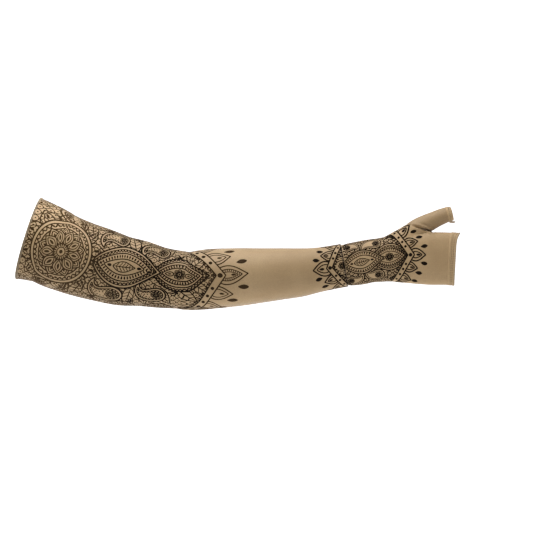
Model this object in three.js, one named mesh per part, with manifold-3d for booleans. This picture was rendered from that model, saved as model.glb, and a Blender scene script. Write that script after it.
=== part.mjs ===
// An arm compression sleeve with its hand part, in the form that a right arm gives it: a long knitted
// sleeve from the upper arm to the wrist, and a hand part with a thumb stall and an open hem at the
// knuckles, whose cuff runs up under the sleeve's wrist end.
// Millimetres. +X runs down the arm to the fingers, +Z is the thumb's side, -Y is the back of the hand.
// The origin is the centre of the upper arm's opening.
import * as THREE from "three";
import { mergeVertices } from "three/addons/utils/BufferGeometryUtils.js";
import Module from "manifold-3d";

const wasm = await Module();
wasm.setup();

// Lengths of the stretches of the arm, and how far each one's end lies above its start
const upperArm = { length: 235, rise: -62.2 };
const elbowToBelly = { length: 28, rise: 3 };
const bellyToWrist = { length: 195, rise: 20 };
const wristToKnuckles = { length: 160, rise: 9 };

// Outer height and depth of the garment at the fitter's measuring points. square tells how square a
// section is: 2 is an ellipse.
const armpit = { height: 122, depth: 103, square: 2.1 };
const elbow = { height: 84.5, depth: 80, square: 2.1 };
const forearmBelly = { height: 87, depth: 82, square: 2.1 };
const wrist = { height: 62.4, depth: 46, square: 2.1 };
const knuckles = { height: 75.5, depth: 31, square: 2.6 };

// The thumb: where its root lies in the palm, its run along X and up Z, and its size at root and tip
const thumb = {
  rootAt: 0.45,
  rootHeight: 19.7,
  reach: 85,
  lift: 46.5,
  back: 5,
  root: { height: 35.5, depth: 35, square: 2.05 },
  tip: { height: 19.5, depth: 19, square: 2.05 },
};

// Fabric and making-up
const wall = 1.2;
const clearance = 0.3;
const upperEdge = { width: 3.2, swell: 0.5 };
const wristEdge = { width: 2.6, swell: 0.35 };
const fingerHem = { width: 10.5, swell: 0.55 };
const thumbHem = { width: 8, swell: 0.45 };
const cuffLap = 26;
const cuffEase = 0.4;
const hemSweep = 5.5;
const thumbSeam = { at: 0.575, tiltDegrees: 73 };
const seamTail = { length: 5, width: 3.4, thickness: 1.6 };

// Facets round a limb, and steps along each piece
const facets = 36;
const thumbFacets = 26;
const sleeveSteps = 30;
const handSteps = 18;
const stallSteps = 13;
const hemSteps = 4;

const tan = new THREE.MeshStandardMaterial({ color: 0xa58d68, roughness: 0.85, metalness: 0 });
const tanPlain = new THREE.MeshStandardMaterial({ color: 0xa98f69, roughness: 0.88, metalness: 0 });
const tanHem = new THREE.MeshStandardMaterial({ color: 0xb09a74, roughness: 0.9, metalness: 0 });
const edgeGrey = new THREE.MeshStandardMaterial({ color: 0x8d8069, roughness: 0.9, metalness: 0 });

// Sections between two measuring points. at is the share of the stretch's length, rise the share of its
// rise, and height and depth the share of the way from the first girth to the second.
const upperArmSections = [
  { at: 0, rise: 0, height: 0, depth: 0 },
  { at: 0.056, rise: 0.066, height: 0.09, depth: 0.02 },
  { at: 0.12, rise: 0.158, height: 0.19, depth: 0.05 },
  { at: 0.194, rise: 0.3, height: 0.26, depth: 0.1 },
  { at: 0.318, rise: 0.475, height: 0.34, depth: 0.22 },
  { at: 0.441, rise: 0.613, height: 0.413, depth: 0.38 },
  { at: 0.565, rise: 0.749, height: 0.544, depth: 0.56 },
  { at: 0.688, rise: 0.82, height: 0.7, depth: 0.76 },
  { at: 0.811, rise: 0.915, height: 0.9, depth: 0.93 },
  { at: 0.935, rise: 0.97, height: 1.01, depth: 1 },
  { at: 1, rise: 1, height: 1, depth: 1 },
];
const forearmSections = [
  { at: 0, rise: 0, height: 0, depth: 0 },
  { at: 0.224, rise: 0.15, height: 0.118, depth: 0.1 },
  { at: 0.373, rise: 0.255, height: 0.3, depth: 0.26 },
  { at: 0.522, rise: 0.365, height: 0.48, depth: 0.46 },
  { at: 0.67, rise: 0.475, height: 0.66, depth: 0.67 },
  { at: 0.819, rise: 0.69, height: 0.91, depth: 0.87 },
  { at: 1, rise: 1, height: 1, depth: 1 },
];

// The palm's sections run from the wrist line to the knuckles. square is the share of the way from the
// wrist's squareness to the knuckles', and sweep the share of hemSweep that a section's thumb side runs
// ahead of its middle.
const palmSections = [
  { at: 0, rise: 0, height: 0, depth: 0, square: 0, sweep: 0 },
  { at: 0.05, rise: 0.12, height: 0.14, depth: 0, square: 0.1, sweep: 0 },
  { at: 0.141, rise: 0.36, height: 0.23, depth: 0.02, square: 0.2, sweep: 0 },
  { at: 0.232, rise: 0.68, height: 0.21, depth: 0.06, square: 0.35, sweep: 0 },
  { at: 0.323, rise: 0.84, height: 0.26, depth: 0.14, square: 0.5, sweep: 0 },
  { at: 0.413, rise: 1.02, height: 0.42, depth: 0.25, square: 0.65, sweep: 0 },
  { at: 0.503, rise: 1.09, height: 0.66, depth: 0.38, square: 0.8, sweep: 0 },
  { at: 0.594, rise: 1.13, height: 0.85, depth: 0.51, square: 0.9, sweep: 0 },
  { at: 0.685, rise: 1.12, height: 0.99, depth: 0.65, square: 1, sweep: 0.1 },
  { at: 0.776, rise: 1.1, height: 1.09, depth: 0.79, square: 1, sweep: 0.3 },
  { at: 0.866, rise: 1.09, height: 1.09, depth: 0.91, square: 1, sweep: 0.6 },
  { at: 0.95, rise: 1.05, height: 1.04, depth: 0.98, square: 1, sweep: 0.9 },
  { at: 1, rise: 1, height: 1, depth: 1, square: 1, sweep: 1 },
];

// The thumb's sections run from inside the heel of the hand to the stall's end. back is the share of
// thumb.back that a section lies behind the palm's middle.
const thumbSections = [
  { at: -0.301, rise: -0.25, height: 0.3, depth: 0.3, back: 0.2 },
  { at: 0, rise: 0, height: 0, depth: 0, back: 0.4 },
  { at: 0.253, rise: 0.295, height: 0.17, depth: 0.15, back: 0.8 },
  { at: 0.446, rise: 0.57, height: 0.4, depth: 0.42, back: 1.1 },
  { at: 0.711, rise: 0.817, height: 0.686, depth: 0.7, back: 1.4 },
  { at: 0.88, rise: 0.945, height: 0.8, depth: 0.82, back: 1.5 },
  { at: 1, rise: 1, height: 1, depth: 1, back: 1.6 },
];

const mix = THREE.MathUtils.lerp;

// Turns a table's rows into rings: centre, half sizes and squareness, from a start point.
function stretch(rows, start, size, first, second) {
  return rows.map((row) => ({
    x: start.x + row.at * size.length,
    y: start.y + (row.back ?? 0) * (size.back ?? 0),
    z: start.z + row.rise * size.rise,
    height: mix(first.height, second.height, row.height) / 2,
    depth: mix(first.depth, second.depth, row.depth) / 2,
    sweep: (row.sweep ?? 0) * hemSweep,
    square: mix(first.square, second.square, row.square ?? row.at),
  }));
}

// A smooth curve through three of the rings' numbers.
const smooth = (rings, a, b, c) =>
  new THREE.CatmullRomCurve3(rings.map((r) => new THREE.Vector3(r[a], r[b], r[c])), false, "catmullrom");

// A limb is a smooth row of rings, measured along its centre line.
class Limb {
  constructor(rings) {
    this.path = smooth(rings, "x", "y", "z");
    this.sizes = smooth(rings, "height", "depth", "square");
    this.sweeps = smooth(rings, "sweep", "sweep", "sweep");
    this.path.arcLengthDivisions = 400;
    this.length = this.path.getLength();
  }

  // The ring at a distance from the start, with its centre, its up direction and its half sizes.
  ring(distance, inset = 0) {
    const u = THREE.MathUtils.clamp(distance / this.length, 0, 1);
    const t = this.path.getUtoTmapping(u);
    const sizes = this.sizes.getPoint(t);
    const tangent = this.path.getTangent(t);
    return {
      centre: this.path.getPoint(t),
      tangent,
      up: new THREE.Vector3(-tangent.z, 0, tangent.x).normalize(),
      height: sizes.x - inset,
      depth: sizes.y - inset,
      square: sizes.z,
      sweep: this.sweeps.getPoint(t).x,
    };
  }

  // The points of one ring, starting at -Y and turning towards +Z.
  points(distance, inset, count) {
    const { centre, tangent, up, height, depth, square, sweep } = this.ring(distance, inset);
    return Array.from({ length: count }, (_, k) => {
      const angle = (k / count) * 2 * Math.PI;
      const across = -Math.cos(angle);
      const along = Math.sin(angle);
      const power = 2 / square;
      const y = Math.sign(across) * Math.abs(across) ** power * depth;
      const z = Math.sign(along) * Math.abs(along) ** power * height;
      const ahead = sweep * along ** 4 * (along > 0 ? 1 : 0.2);
      return centre.clone().addScaledVector(up, z).addScaledVector(tangent, ahead).setY(centre.y + y);
    });
  }
}

// A closed geometry from a list of rings of equal count: joined to each other in turn, and then either
// back to the first ring, as a hollow shell, or closed with a flat cap at each end.
function skin(rings, hollow) {
  const count = rings[0].length;
  const vertices = rings.flat();
  const triangles = [];
  const last = hollow ? rings.length : rings.length - 1;
  for (let r = 0; r < last; r++) {
    const a = r * count;
    const b = ((r + 1) % rings.length) * count;
    for (let k = 0; k < count; k++) {
      const next = (k + 1) % count;
      triangles.push(a + k, b + k, b + next, a + k, b + next, a + next);
    }
  }
  if (!hollow) {
    for (const [r, forwards] of [[0, false], [rings.length - 1, true]]) {
      const middle = vertices.length;
      const sum = rings[r].reduce((total, p) => total.add(p), new THREE.Vector3());
      vertices.push(sum.divideScalar(count));
      for (let k = 0; k < count; k++) {
        const pair = [r * count + k, r * count + ((k + 1) % count)];
        triangles.push(middle, ...(forwards ? pair.reverse() : pair));
      }
    }
  }
  const geometry = new THREE.BufferGeometry();
  geometry.setAttribute(
    "position",
    new THREE.Float32BufferAttribute(vertices.flatMap((p) => [p.x, p.y, p.z]), 3),
  );
  geometry.setIndex(triangles);
  return geometry;
}

const spaced = (from, to, steps) =>
  Array.from({ length: steps + 1 }, (_, k) => mix(from, to, k / steps));

// A hollow shell of one wall thickness, from one distance along a limb to another.
function shell(limb, from, to, steps, count) {
  const outer = spaced(from, to, steps).map((d) => limb.points(d, 0, count));
  const inner = spaced(to, from, steps).map((d) => limb.points(d, wall, count));
  return skin([...outer, ...inner], true);
}

// A hem or edge: a shell whose outside swells in a low arc across its width.
function band(limb, from, to, swell, count) {
  const outer = spaced(from, to, hemSteps).map((d, k) =>
    limb.points(d, -swell * Math.sin((Math.PI * (k + 0.5)) / (hemSteps + 1)), count));
  const inner = spaced(to, from, 1).map((d) => limb.points(d, wall, count));
  return skin([...outer, ...inner], true);
}

// A filled solid of a limb, drawn in by inset. It runs straight on past both ends by past.
function core(limb, from, to, inset, steps, count, past = 0) {
  const rings = spaced(from, to, steps).map((d) => limb.points(d, inset, count));
  const onwards = (ring, distance, by) =>
    ring.map((p) => p.clone().addScaledVector(limb.ring(distance).tangent, by));
  if (past > 0) {
    rings.unshift(onwards(rings[0], from, -past));
    rings.push(onwards(rings.at(-1), to, past));
  }
  return solid(skin(rings, false));
}

// Geometry to a manifold solid, and back.
function solid(geometry) {
  const merged = mergeVertices(geometry, 1e-4);
  return new wasm.Manifold(new wasm.Mesh({
    numProp: 3,
    vertProperties: merged.attributes.position.array,
    triVerts: new Uint32Array(merged.index.array),
  }));
}

function geometryOf(manifold) {
  const mesh = manifold.getMesh();
  const geometry = new THREE.BufferGeometry();
  geometry.setAttribute("position", new THREE.BufferAttribute(mesh.vertProperties, 3));
  geometry.setIndex(new THREE.BufferAttribute(mesh.triVerts, 1));
  return geometry;
}

// A box that holds everything past a plane, on the side that the normal points to.
function beyond(point, normal) {
  const size = 4 * wristToKnuckles.length;
  const block = new THREE.BoxGeometry(size, size, size);
  block.deleteAttribute("normal");
  block.deleteAttribute("uv");
  const turn = new THREE.Quaternion().setFromUnitVectors(new THREE.Vector3(1, 0, 0), normal);
  block.applyQuaternion(turn);
  const centre = point.clone().addScaledVector(normal, size / 2);
  block.translate(centre.x, centre.y, centre.z);
  return solid(block);
}

// The three limbs
const elbowPoint = new THREE.Vector3(upperArm.length, 0, upperArm.rise);
const bellyPoint = elbowPoint.clone().add(new THREE.Vector3(elbowToBelly.length, 0, elbowToBelly.rise));
const wristPoint = bellyPoint.clone().add(new THREE.Vector3(bellyToWrist.length, 0, bellyToWrist.rise));
const arm = new Limb([
  ...stretch(upperArmSections, new THREE.Vector3(), upperArm, armpit, elbow),
  ...stretch(forearmSections, bellyPoint, bellyToWrist, forearmBelly, wrist),
]);

// The cuff follows the forearm's line back from the wrist, inside the sleeve.
const underSleeve = wall + cuffEase;
const handCuff = { ...wrist, height: wrist.height - 2 * underSleeve, depth: wrist.depth - 2 * underSleeve };
const cuffStart = arm.ring(arm.length - cuffLap, underSleeve);
const cuffMiddle = arm.ring(arm.length - cuffLap / 2, underSleeve);
const ringAt = ({ centre, height, depth, square }) =>
  ({ x: centre.x, y: centre.y, z: centre.z, height, depth, square, sweep: 0 });
const palm = new Limb([
  ringAt(cuffStart),
  ringAt(cuffMiddle),
  ...stretch(palmSections, wristPoint, wristToKnuckles, handCuff, knuckles),
]);
const thumbRoot = new THREE.Vector3(
  wristPoint.x + thumb.rootAt * wristToKnuckles.length,
  0,
  wristPoint.z + wristToKnuckles.rise + thumb.rootHeight,
);
const thumbLimb = new Limb(
  stretch(
    thumbSections,
    thumbRoot,
    { length: thumb.reach, rise: thumb.lift, back: thumb.back },
    thumb.root,
    thumb.tip,
  ),
);

// The sleeve and its two edges
function armSleeve() {
  const start = upperEdge.width + clearance;
  const end = arm.length - wristEdge.width - clearance;
  return shell(arm, start, end, sleeveSteps, facets);
}

const upperEdgeBand = () => band(arm, 0, upperEdge.width, upperEdge.swell, facets);
const wristEdgeBand = () => band(arm, arm.length - wristEdge.width, arm.length, wristEdge.swell, facets);

// The hand part: the palm's shell with the ball of the thumb joined to it, and the stall beyond the seam
const palmEnd = palm.length - fingerHem.width - clearance;
const stallEnd = thumbLimb.length - thumbHem.width - clearance;
const seamRing = thumbLimb.ring(thumbSeam.at * thumbLimb.length);
const seamNormal = new THREE.Vector3(1, 0, 0)
  .applyAxisAngle(new THREE.Vector3(0, 1, 0), -THREE.MathUtils.degToRad(thumbSeam.tiltDegrees));
const pastSeam = beyond(seamRing.centre, seamNormal);
const pastSeamGap = beyond(
  seamRing.centre.clone().addScaledVector(seamNormal, clearance),
  seamNormal,
);
const thumbHollow = core(thumbLimb, 0, thumbLimb.length, wall, stallSteps, thumbFacets);

function handPart() {
  const outside = core(palm, 0, palmEnd, 0, handSteps, facets)
    .add(core(thumbLimb, 0, thumbLimb.length, 0, stallSteps, thumbFacets).subtract(pastSeam));
  const inside = core(palm, 0, palmEnd, wall, handSteps, facets, wall);
  return geometryOf(outside.subtract(inside).subtract(thumbHollow));
}

function thumbStall() {
  const tube = core(thumbLimb, 0, stallEnd, 0, stallSteps, thumbFacets).subtract(thumbHollow);
  const hand = core(palm, 0, palm.length, -clearance, handSteps, facets);
  return geometryOf(tube.intersect(pastSeamGap).subtract(hand));
}

const fingerHemBand = () => band(palm, palm.length - fingerHem.width, palm.length, fingerHem.swell, facets);
const thumbHemBand = () =>
  band(thumbLimb, thumbLimb.length - thumbHem.width, thumbLimb.length, thumbHem.swell, thumbFacets);

// The end of the stall's seam, a small flat tail below the thumb hem.
function seamTailPiece() {
  const ring = thumbLimb.ring(thumbLimb.length - thumbHem.width / 2);
  const outline = new THREE.Shape();
  outline.moveTo(0, 0);
  outline.lineTo(seamTail.length * 0.7, 0);
  outline.lineTo(seamTail.length, -seamTail.width * 0.55);
  outline.lineTo(seamTail.length * 0.45, -seamTail.width * 0.6);
  outline.closePath();
  const tail = new THREE.ExtrudeGeometry(outline, { depth: seamTail.thickness, bevelEnabled: false });
  tail.deleteAttribute("normal");
  tail.deleteAttribute("uv");
  tail.translate(0, 0, -seamTail.thickness / 2);
  const down = ring.height + thumbHem.swell + clearance;
  const place = ring.centre.clone().addScaledVector(ring.up, -down);
  const axes = new THREE.Matrix4().makeBasis(
    ring.tangent,
    ring.up,
    ring.tangent.clone().cross(ring.up),
  );
  tail.applyMatrix4(axes.setPosition(place));
  return tail;
}

const sleeve = new THREE.Group();
function addPiece(parent, name, geometry, material) {
  const piece = new THREE.Mesh(geometry, material);
  piece.name = name;
  parent.add(piece);
}

addPiece(sleeve, "upper_edge", upperEdgeBand(), edgeGrey);
addPiece(sleeve, "arm_sleeve", armSleeve(), tan);
addPiece(sleeve, "wrist_edge", wristEdgeBand(), edgeGrey);

const handGroup = new THREE.Group();
addPiece(handGroup, "hand_part", handPart(), tanPlain);
addPiece(handGroup, "finger_hem", fingerHemBand(), tanHem);
addPiece(handGroup, "thumb_stall", thumbStall(), tanPlain);
addPiece(handGroup, "thumb_hem", thumbHemBand(), tanHem);
addPiece(handGroup, "thumb_seam_tail", seamTailPiece(), tanHem);
sleeve.add(handGroup);

export default sleeve;
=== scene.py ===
"""Dresses the arm compression sleeve: knitted cloth, sewn hems, threads and a printed henna pattern.

Lengths are in millimetres where nothing else is said. Flat places on the cloth are complex numbers: the
real part lies along the arm and the other one round it.
"""

import logging
import math
from dataclasses import dataclass
from enum import Enum
from typing import Callable, Iterable, Optional, Sequence

import bmesh
import bpy
import numpy as np
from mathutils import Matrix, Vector
from mathutils.bvhtree import BVHTree


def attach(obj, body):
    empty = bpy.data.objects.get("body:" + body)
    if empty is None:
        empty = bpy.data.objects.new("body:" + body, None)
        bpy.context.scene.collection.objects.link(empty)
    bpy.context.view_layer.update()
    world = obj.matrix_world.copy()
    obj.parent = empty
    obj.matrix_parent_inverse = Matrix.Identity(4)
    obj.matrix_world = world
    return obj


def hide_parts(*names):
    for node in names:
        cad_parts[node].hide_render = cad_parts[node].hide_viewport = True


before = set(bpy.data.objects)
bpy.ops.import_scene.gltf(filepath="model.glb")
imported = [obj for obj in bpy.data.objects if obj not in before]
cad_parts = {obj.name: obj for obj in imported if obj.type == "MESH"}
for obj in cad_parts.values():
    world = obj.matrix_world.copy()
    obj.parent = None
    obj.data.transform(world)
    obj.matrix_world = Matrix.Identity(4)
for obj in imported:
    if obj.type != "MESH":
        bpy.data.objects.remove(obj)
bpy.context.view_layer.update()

BODY = "root"
MM = 0.001
TURN = 2 * math.pi
LOG = logging.getLogger("arm_sleeve")

Points = np.ndarray
Face = Sequence[int]


@dataclass(frozen=True)
class Girth:
    """Outer height and depth of a section, in millimetres, and how square it is: 2 is an ellipse."""

    height: float
    depth: float
    square: float = 2.1


@dataclass(frozen=True)
class Stretch:
    """Length of a stretch of the arm along X, and how far its end lies above its start, in millimetres."""

    length: float
    rise: float
    back: float = 0.0


@dataclass(frozen=True)
class Row:
    """One section of a stretch, each value a share of the stretch's own size."""

    at: float
    rise: float
    height: float
    depth: float
    square: Optional[float] = None
    sweep: float = 0.0
    back: float = 0.0


# The worn garment's sizes in millimetres, the same as the part's own
UPPER_ARM = Stretch(235, -62.2)
ELBOW_TO_BELLY = Stretch(28, 3)
BELLY_TO_WRIST = Stretch(195, 20)
WRIST_TO_KNUCKLES = Stretch(160, 9)
ARMPIT = Girth(122, 103)
ELBOW = Girth(84.5, 80)
FOREARM_BELLY = Girth(87, 82)
WRIST = Girth(62.4, 46)
KNUCKLES = Girth(75.5, 31, 2.6)
THUMB_RUN = Stretch(85, 46.5, 5)
THUMB_ROOT = Girth(35.5, 35, 2.05)
THUMB_TIP = Girth(19.5, 19, 2.05)
THUMB_ROOT_AT = 0.45
THUMB_ROOT_HEIGHT = 19.7
WALL = 1.2
CUFF_LAP = 26
CUFF_EASE = 0.4
HEM_SWEEP = 5.5
UPPER_EDGE_WIDTH = 3.2
WRIST_EDGE_WIDTH = 2.6
FINGER_HEM_WIDTH = 10.5
THUMB_HEM_WIDTH = 8.0
SEAM_AT = 0.575
SEAM_TILT = math.radians(73)

# The sections of each stretch
UPPER_ARM_ROWS = (
    Row(0, 0, 0, 0),
    Row(0.056, 0.066, 0.09, 0.02),
    Row(0.12, 0.158, 0.19, 0.05),
    Row(0.194, 0.3, 0.26, 0.1),
    Row(0.318, 0.475, 0.34, 0.22),
    Row(0.441, 0.613, 0.413, 0.38),
    Row(0.565, 0.749, 0.544, 0.56),
    Row(0.688, 0.82, 0.7, 0.76),
    Row(0.811, 0.915, 0.9, 0.93),
    Row(0.935, 0.97, 1.01, 1),
    Row(1, 1, 1, 1),
)
FOREARM_ROWS = (
    Row(0, 0, 0, 0),
    Row(0.224, 0.15, 0.118, 0.1),
    Row(0.373, 0.255, 0.3, 0.26),
    Row(0.522, 0.365, 0.48, 0.46),
    Row(0.67, 0.475, 0.66, 0.67),
    Row(0.819, 0.69, 0.91, 0.87),
    Row(1, 1, 1, 1),
)
PALM_ROWS = (
    Row(0, 0, 0, 0, 0),
    Row(0.05, 0.12, 0.14, 0, 0.1),
    Row(0.141, 0.36, 0.23, 0.02, 0.2),
    Row(0.232, 0.68, 0.21, 0.06, 0.35),
    Row(0.323, 0.84, 0.26, 0.14, 0.5),
    Row(0.413, 1.02, 0.42, 0.25, 0.65),
    Row(0.503, 1.09, 0.66, 0.38, 0.8),
    Row(0.594, 1.13, 0.85, 0.51, 0.9),
    Row(0.685, 1.12, 0.99, 0.65, 1, 0.1),
    Row(0.776, 1.1, 1.09, 0.79, 1, 0.3),
    Row(0.866, 1.09, 1.09, 0.91, 1, 0.6),
    Row(0.95, 1.05, 1.04, 0.98, 1, 0.9),
    Row(1, 1, 1, 1, 1, 1),
)
THUMB_ROWS = (
    Row(-0.301, -0.25, 0.3, 0.3, back=0.2),
    Row(0, 0, 0, 0, back=0.4),
    Row(0.253, 0.295, 0.17, 0.15, back=0.8),
    Row(0.446, 0.57, 0.4, 0.42, back=1.1),
    Row(0.711, 0.817, 0.686, 0.7, back=1.4),
    Row(0.88, 0.945, 0.8, 0.82, back=1.5),
    Row(1, 1, 1, 1, back=1.6),
)


class SmoothCurve:
    """A Catmull-Rom curve through a row of points."""

    def __init__(self, points: Sequence[Sequence[float]]) -> None:
        """Works out each span's four coefficients, the spans counting alike.

        Args:
            points: the points that the curve passes through.
        """
        given = np.array(points, dtype=float)
        ends = np.vstack([2 * given[0] - given[1], given, 2 * given[-1] - given[-2]])
        before, first, second, after = ends[:-3], ends[1:-2], ends[2:-1], ends[3:]
        lead, tail = (second - before) / 2, (after - first) / 2
        self.coefficients = (
            first,
            lead,
            3 * (second - first) - 2 * lead - tail,
            2 * (first - second) + lead + tail,
        )

    def at(self, shares: Points) -> Points:
        """Reads points off the curve.

        Args:
            shares: how far along the row each point lies, from 0 to 1.

        Returns:
            The curve's points there.
        """
        spans = len(self.coefficients[0])
        place = np.clip(shares, 0, 1) * spans
        span = np.minimum(place.astype(int), spans - 1)
        step = (place - span)[:, None]
        a, b, c, d = (part[span] for part in self.coefficients)
        return a + step * (b + step * (c + step * d))


def mix(first: float, second: float, share: float) -> float:
    """Gives the value that lies a share of the way from the first to the second."""
    return first + (second - first) * share


def sections(rows: Iterable[Row], start: Sequence[float], run: Stretch, first: Girth,
             second: Girth) -> list[list[float]]:
    """Turns a table's rows into sections.

    Args:
        rows: the table.
        start: where the stretch starts.
        run: the stretch's length and rise.
        first: the girth where a row's share is 0.
        second: the girth where a row's share is 1.

    Returns:
        One list for each section: centre x, y, z, half height, half depth, squareness and sweep.
    """
    return [
        [
            start[0] + row.at * run.length,
            start[1] + row.back * run.back,
            start[2] + row.rise * run.rise,
            mix(first.height, second.height, row.height) / 2,
            mix(first.depth, second.depth, row.depth) / 2,
            mix(first.square, second.square, row.at if row.square is None else row.square),
            row.sweep * HEM_SWEEP,
        ]
        for row in rows
    ]


class Limb:
    """A smooth row of sections, measured along its centre line."""

    SAMPLES = 1601
    SECTIONS = 161
    ROUND = 361
    UNDER_SWEEP = 0.2
    NORMAL_STEP = 0.5

    def __init__(self, rows: Sequence[Sequence[float]]) -> None:
        """Samples the limb finely.

        Args:
            rows: the sections, as sections() gives them.
        """
        shares = np.linspace(0, 1, self.SAMPLES)
        self.centres = SmoothCurve([r[:3] for r in rows]).at(shares)
        self.sizes = SmoothCurve([r[3:] for r in rows]).at(shares)
        hops = np.linalg.norm(np.diff(self.centres, axis=0), axis=1)
        self.travel = np.concatenate([[0], np.cumsum(hops)])
        self.length = float(self.travel[-1])
        tangents = np.gradient(self.centres, self.travel, axis=0)
        self.tangents = tangents / np.linalg.norm(tangents, axis=1)[:, None]
        self._measure_round()

    def _measure_round(self) -> None:
        """Tabulates, for some sections, the angle at each even share of the way round."""
        self.table_at = np.linspace(0, self.length, self.SECTIONS)
        angles = np.linspace(-math.pi, math.pi, self.ROUND)
        shares = np.linspace(-1, 1, self.ROUND)
        grid = self.surface(self.table_at[:, None], angles[None, :])
        arcs = np.linalg.norm(np.diff(grid, axis=1), axis=2)
        self.angle_table = np.empty((len(self.table_at), self.ROUND))
        self.perimeters = arcs.sum(axis=1)
        for index, arc in enumerate(arcs):
            run = np.concatenate([[0], np.cumsum(arc)])
            middle = np.interp(0, angles, run)
            even = np.where(run < middle, (run - middle) / middle, (run - middle) / (run[-1] - middle))
            self.angle_table[index] = np.interp(shares, even, angles)

    def read(self, distance: Points, table: Points) -> Points:
        """Reads one of the limb's tables, such as its centres.

        Args:
            distance: how far along the centre line.
            table: the table, with a row for each sample.

        Returns:
            The table's values there, as the last axis.
        """
        flat = np.ravel(distance)
        columns = [np.interp(flat, self.travel, table[:, k]) for k in range(table.shape[1])]
        return np.stack(columns, axis=-1).reshape(np.shape(distance) + (table.shape[1],))

    def surface(self, distance: Points, angle: Points, inset: float | Points = 0.0) -> Points:
        """Gives points of the limb's surface.

        Args:
            distance: how far along the centre line.
            angle: the angle round the section, 0 at the back of the hand and a quarter turn at the thumb.
            inset: how far the section is drawn in.

        Returns:
            The points, with the coordinates as the last axis.
        """
        distance, angle = np.broadcast_arrays(distance, angle)
        centre, tangent = self.read(distance, self.centres), self.read(distance, self.tangents)
        size = self.read(distance, self.sizes)
        up = np.stack([-tangent[..., 2], np.zeros_like(angle), tangent[..., 0]], axis=-1)
        up /= np.linalg.norm(up, axis=-1)[..., None]
        across, along = -np.cos(angle), np.sin(angle)
        power = 2 / size[..., 2]
        y = np.sign(across) * np.abs(across) ** power * (size[..., 1] - inset)
        z = np.sign(along) * np.abs(along) ** power * (size[..., 0] - inset)
        ahead = size[..., 3] * along ** 4 * np.where(along > 0, 1, self.UNDER_SWEEP)
        points = centre + z[..., None] * up + ahead[..., None] * tangent
        points[..., 1] = centre[..., 1] + y
        return points

    def angle(self, distance: Points, share: Points) -> Points:
        """Turns shares of the way round into angles.

        Args:
            distance: how far along the centre line.
            share: the share of the way round, from -1 to 1 with 0 at the back of the hand.

        Returns:
            The angles there.
        """
        distance, share = np.broadcast_arrays(distance, share)
        row = np.clip(np.interp(distance, self.table_at, np.arange(len(self.table_at))),
                      0, len(self.table_at) - 1.001)
        wrapped = (share + 1) % 2
        column = np.clip(wrapped / 2 * (self.ROUND - 1), 0, self.ROUND - 1.001)
        r, c = row.astype(int), column.astype(int)
        fr, fc = row - r, column - c
        table = self.angle_table
        upper = table[r, c] * (1 - fc) + table[r, c + 1] * fc
        lower = table[r + 1, c] * (1 - fc) + table[r + 1, c + 1] * fc
        return upper * (1 - fr) + lower * fr

    def girth(self, distance: Points) -> Points:
        """Gives the distance round the limb at distances along it."""
        return np.interp(distance, self.table_at, self.perimeters)

    def skin(self, distance: Points, share: Points, inset: float | Points = 0.0) -> Points:
        """Gives surface points at distances along and even shares round."""
        return self.surface(distance, self.angle(distance, share), inset)

    def normals(self, distance: Points, share: Points) -> Points:
        """Gives the surface's outward directions.

        Args:
            distance: how far along the centre line.
            share: the share of the way round, from -1 to 1.

        Returns:
            The directions, each of length 1.
        """
        step = self.NORMAL_STEP
        turn = step / self.girth(distance) * 2
        along = self.skin(distance + step, share) - self.skin(distance - step, share)
        around = self.skin(distance, share + turn) - self.skin(distance, share - turn)
        outward = np.cross(along, around)
        return outward / np.linalg.norm(outward, axis=-1)[..., None]


def build_limbs() -> tuple[Limb, Limb, Limb]:
    """Builds the limbs that the garment covers, with the sizes of the part's own solids.

    Returns:
        The arm, the palm with its cuff, and the thumb.
    """
    elbow = np.array([UPPER_ARM.length, 0, UPPER_ARM.rise])
    belly = elbow + [ELBOW_TO_BELLY.length, 0, ELBOW_TO_BELLY.rise]
    wrist = belly + [BELLY_TO_WRIST.length, 0, BELLY_TO_WRIST.rise]
    arm = Limb(
        sections(UPPER_ARM_ROWS, (0, 0, 0), UPPER_ARM, ARMPIT, ELBOW)
        + sections(FOREARM_ROWS, belly, BELLY_TO_WRIST, FOREARM_BELLY, WRIST)
    )
    under = WALL + CUFF_EASE
    cuff = Girth(WRIST.height - 2 * under, WRIST.depth - 2 * under)
    cuff_rows = []
    for back in (CUFF_LAP, CUFF_LAP / 2):
        at = np.array([arm.length - back])
        half_height, half_depth, square, _ = arm.read(at, arm.sizes)[0]
        cuff_rows.append([*arm.read(at, arm.centres)[0], half_height - under, half_depth - under, square, 0])
    palm = Limb(cuff_rows + sections(PALM_ROWS, wrist, WRIST_TO_KNUCKLES, cuff, KNUCKLES))
    root = (
        wrist[0] + THUMB_ROOT_AT * WRIST_TO_KNUCKLES.length,
        0,
        wrist[2] + WRIST_TO_KNUCKLES.rise + THUMB_ROOT_HEIGHT,
    )
    thumb = Limb(sections(THUMB_ROWS, root, THUMB_RUN, THUMB_ROOT, THUMB_TIP))
    return arm, palm, thumb


ARM, PALM, THUMB = build_limbs()


def place_mesh(name: str, mesh: bpy.types.Mesh) -> bpy.types.Object:
    """Puts a mesh into the scene as an object.

    Args:
        name: the object's name.
        mesh: its mesh, whose faces are then shaded smooth.

    Returns:
        The new object.
    """
    mesh.polygons.foreach_set("use_smooth", [True] * len(mesh.polygons))
    mesh.update()
    piece = bpy.data.objects.new(name, mesh)
    bpy.context.scene.collection.objects.link(piece)
    return piece


def new_object(name: str, points: Points, faces: Sequence[Face]) -> bpy.types.Object:
    """Makes a mesh object in the scene.

    Args:
        name: the piece's name.
        points: its vertices.
        faces: its faces, as rows of vertex numbers.

    Returns:
        The new object.
    """
    mesh = bpy.data.meshes.new(name)
    mesh.from_pydata((np.asarray(points).reshape(-1, 3) * MM).tolist(), [], [list(f) for f in faces])
    return place_mesh(name, mesh)


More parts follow.
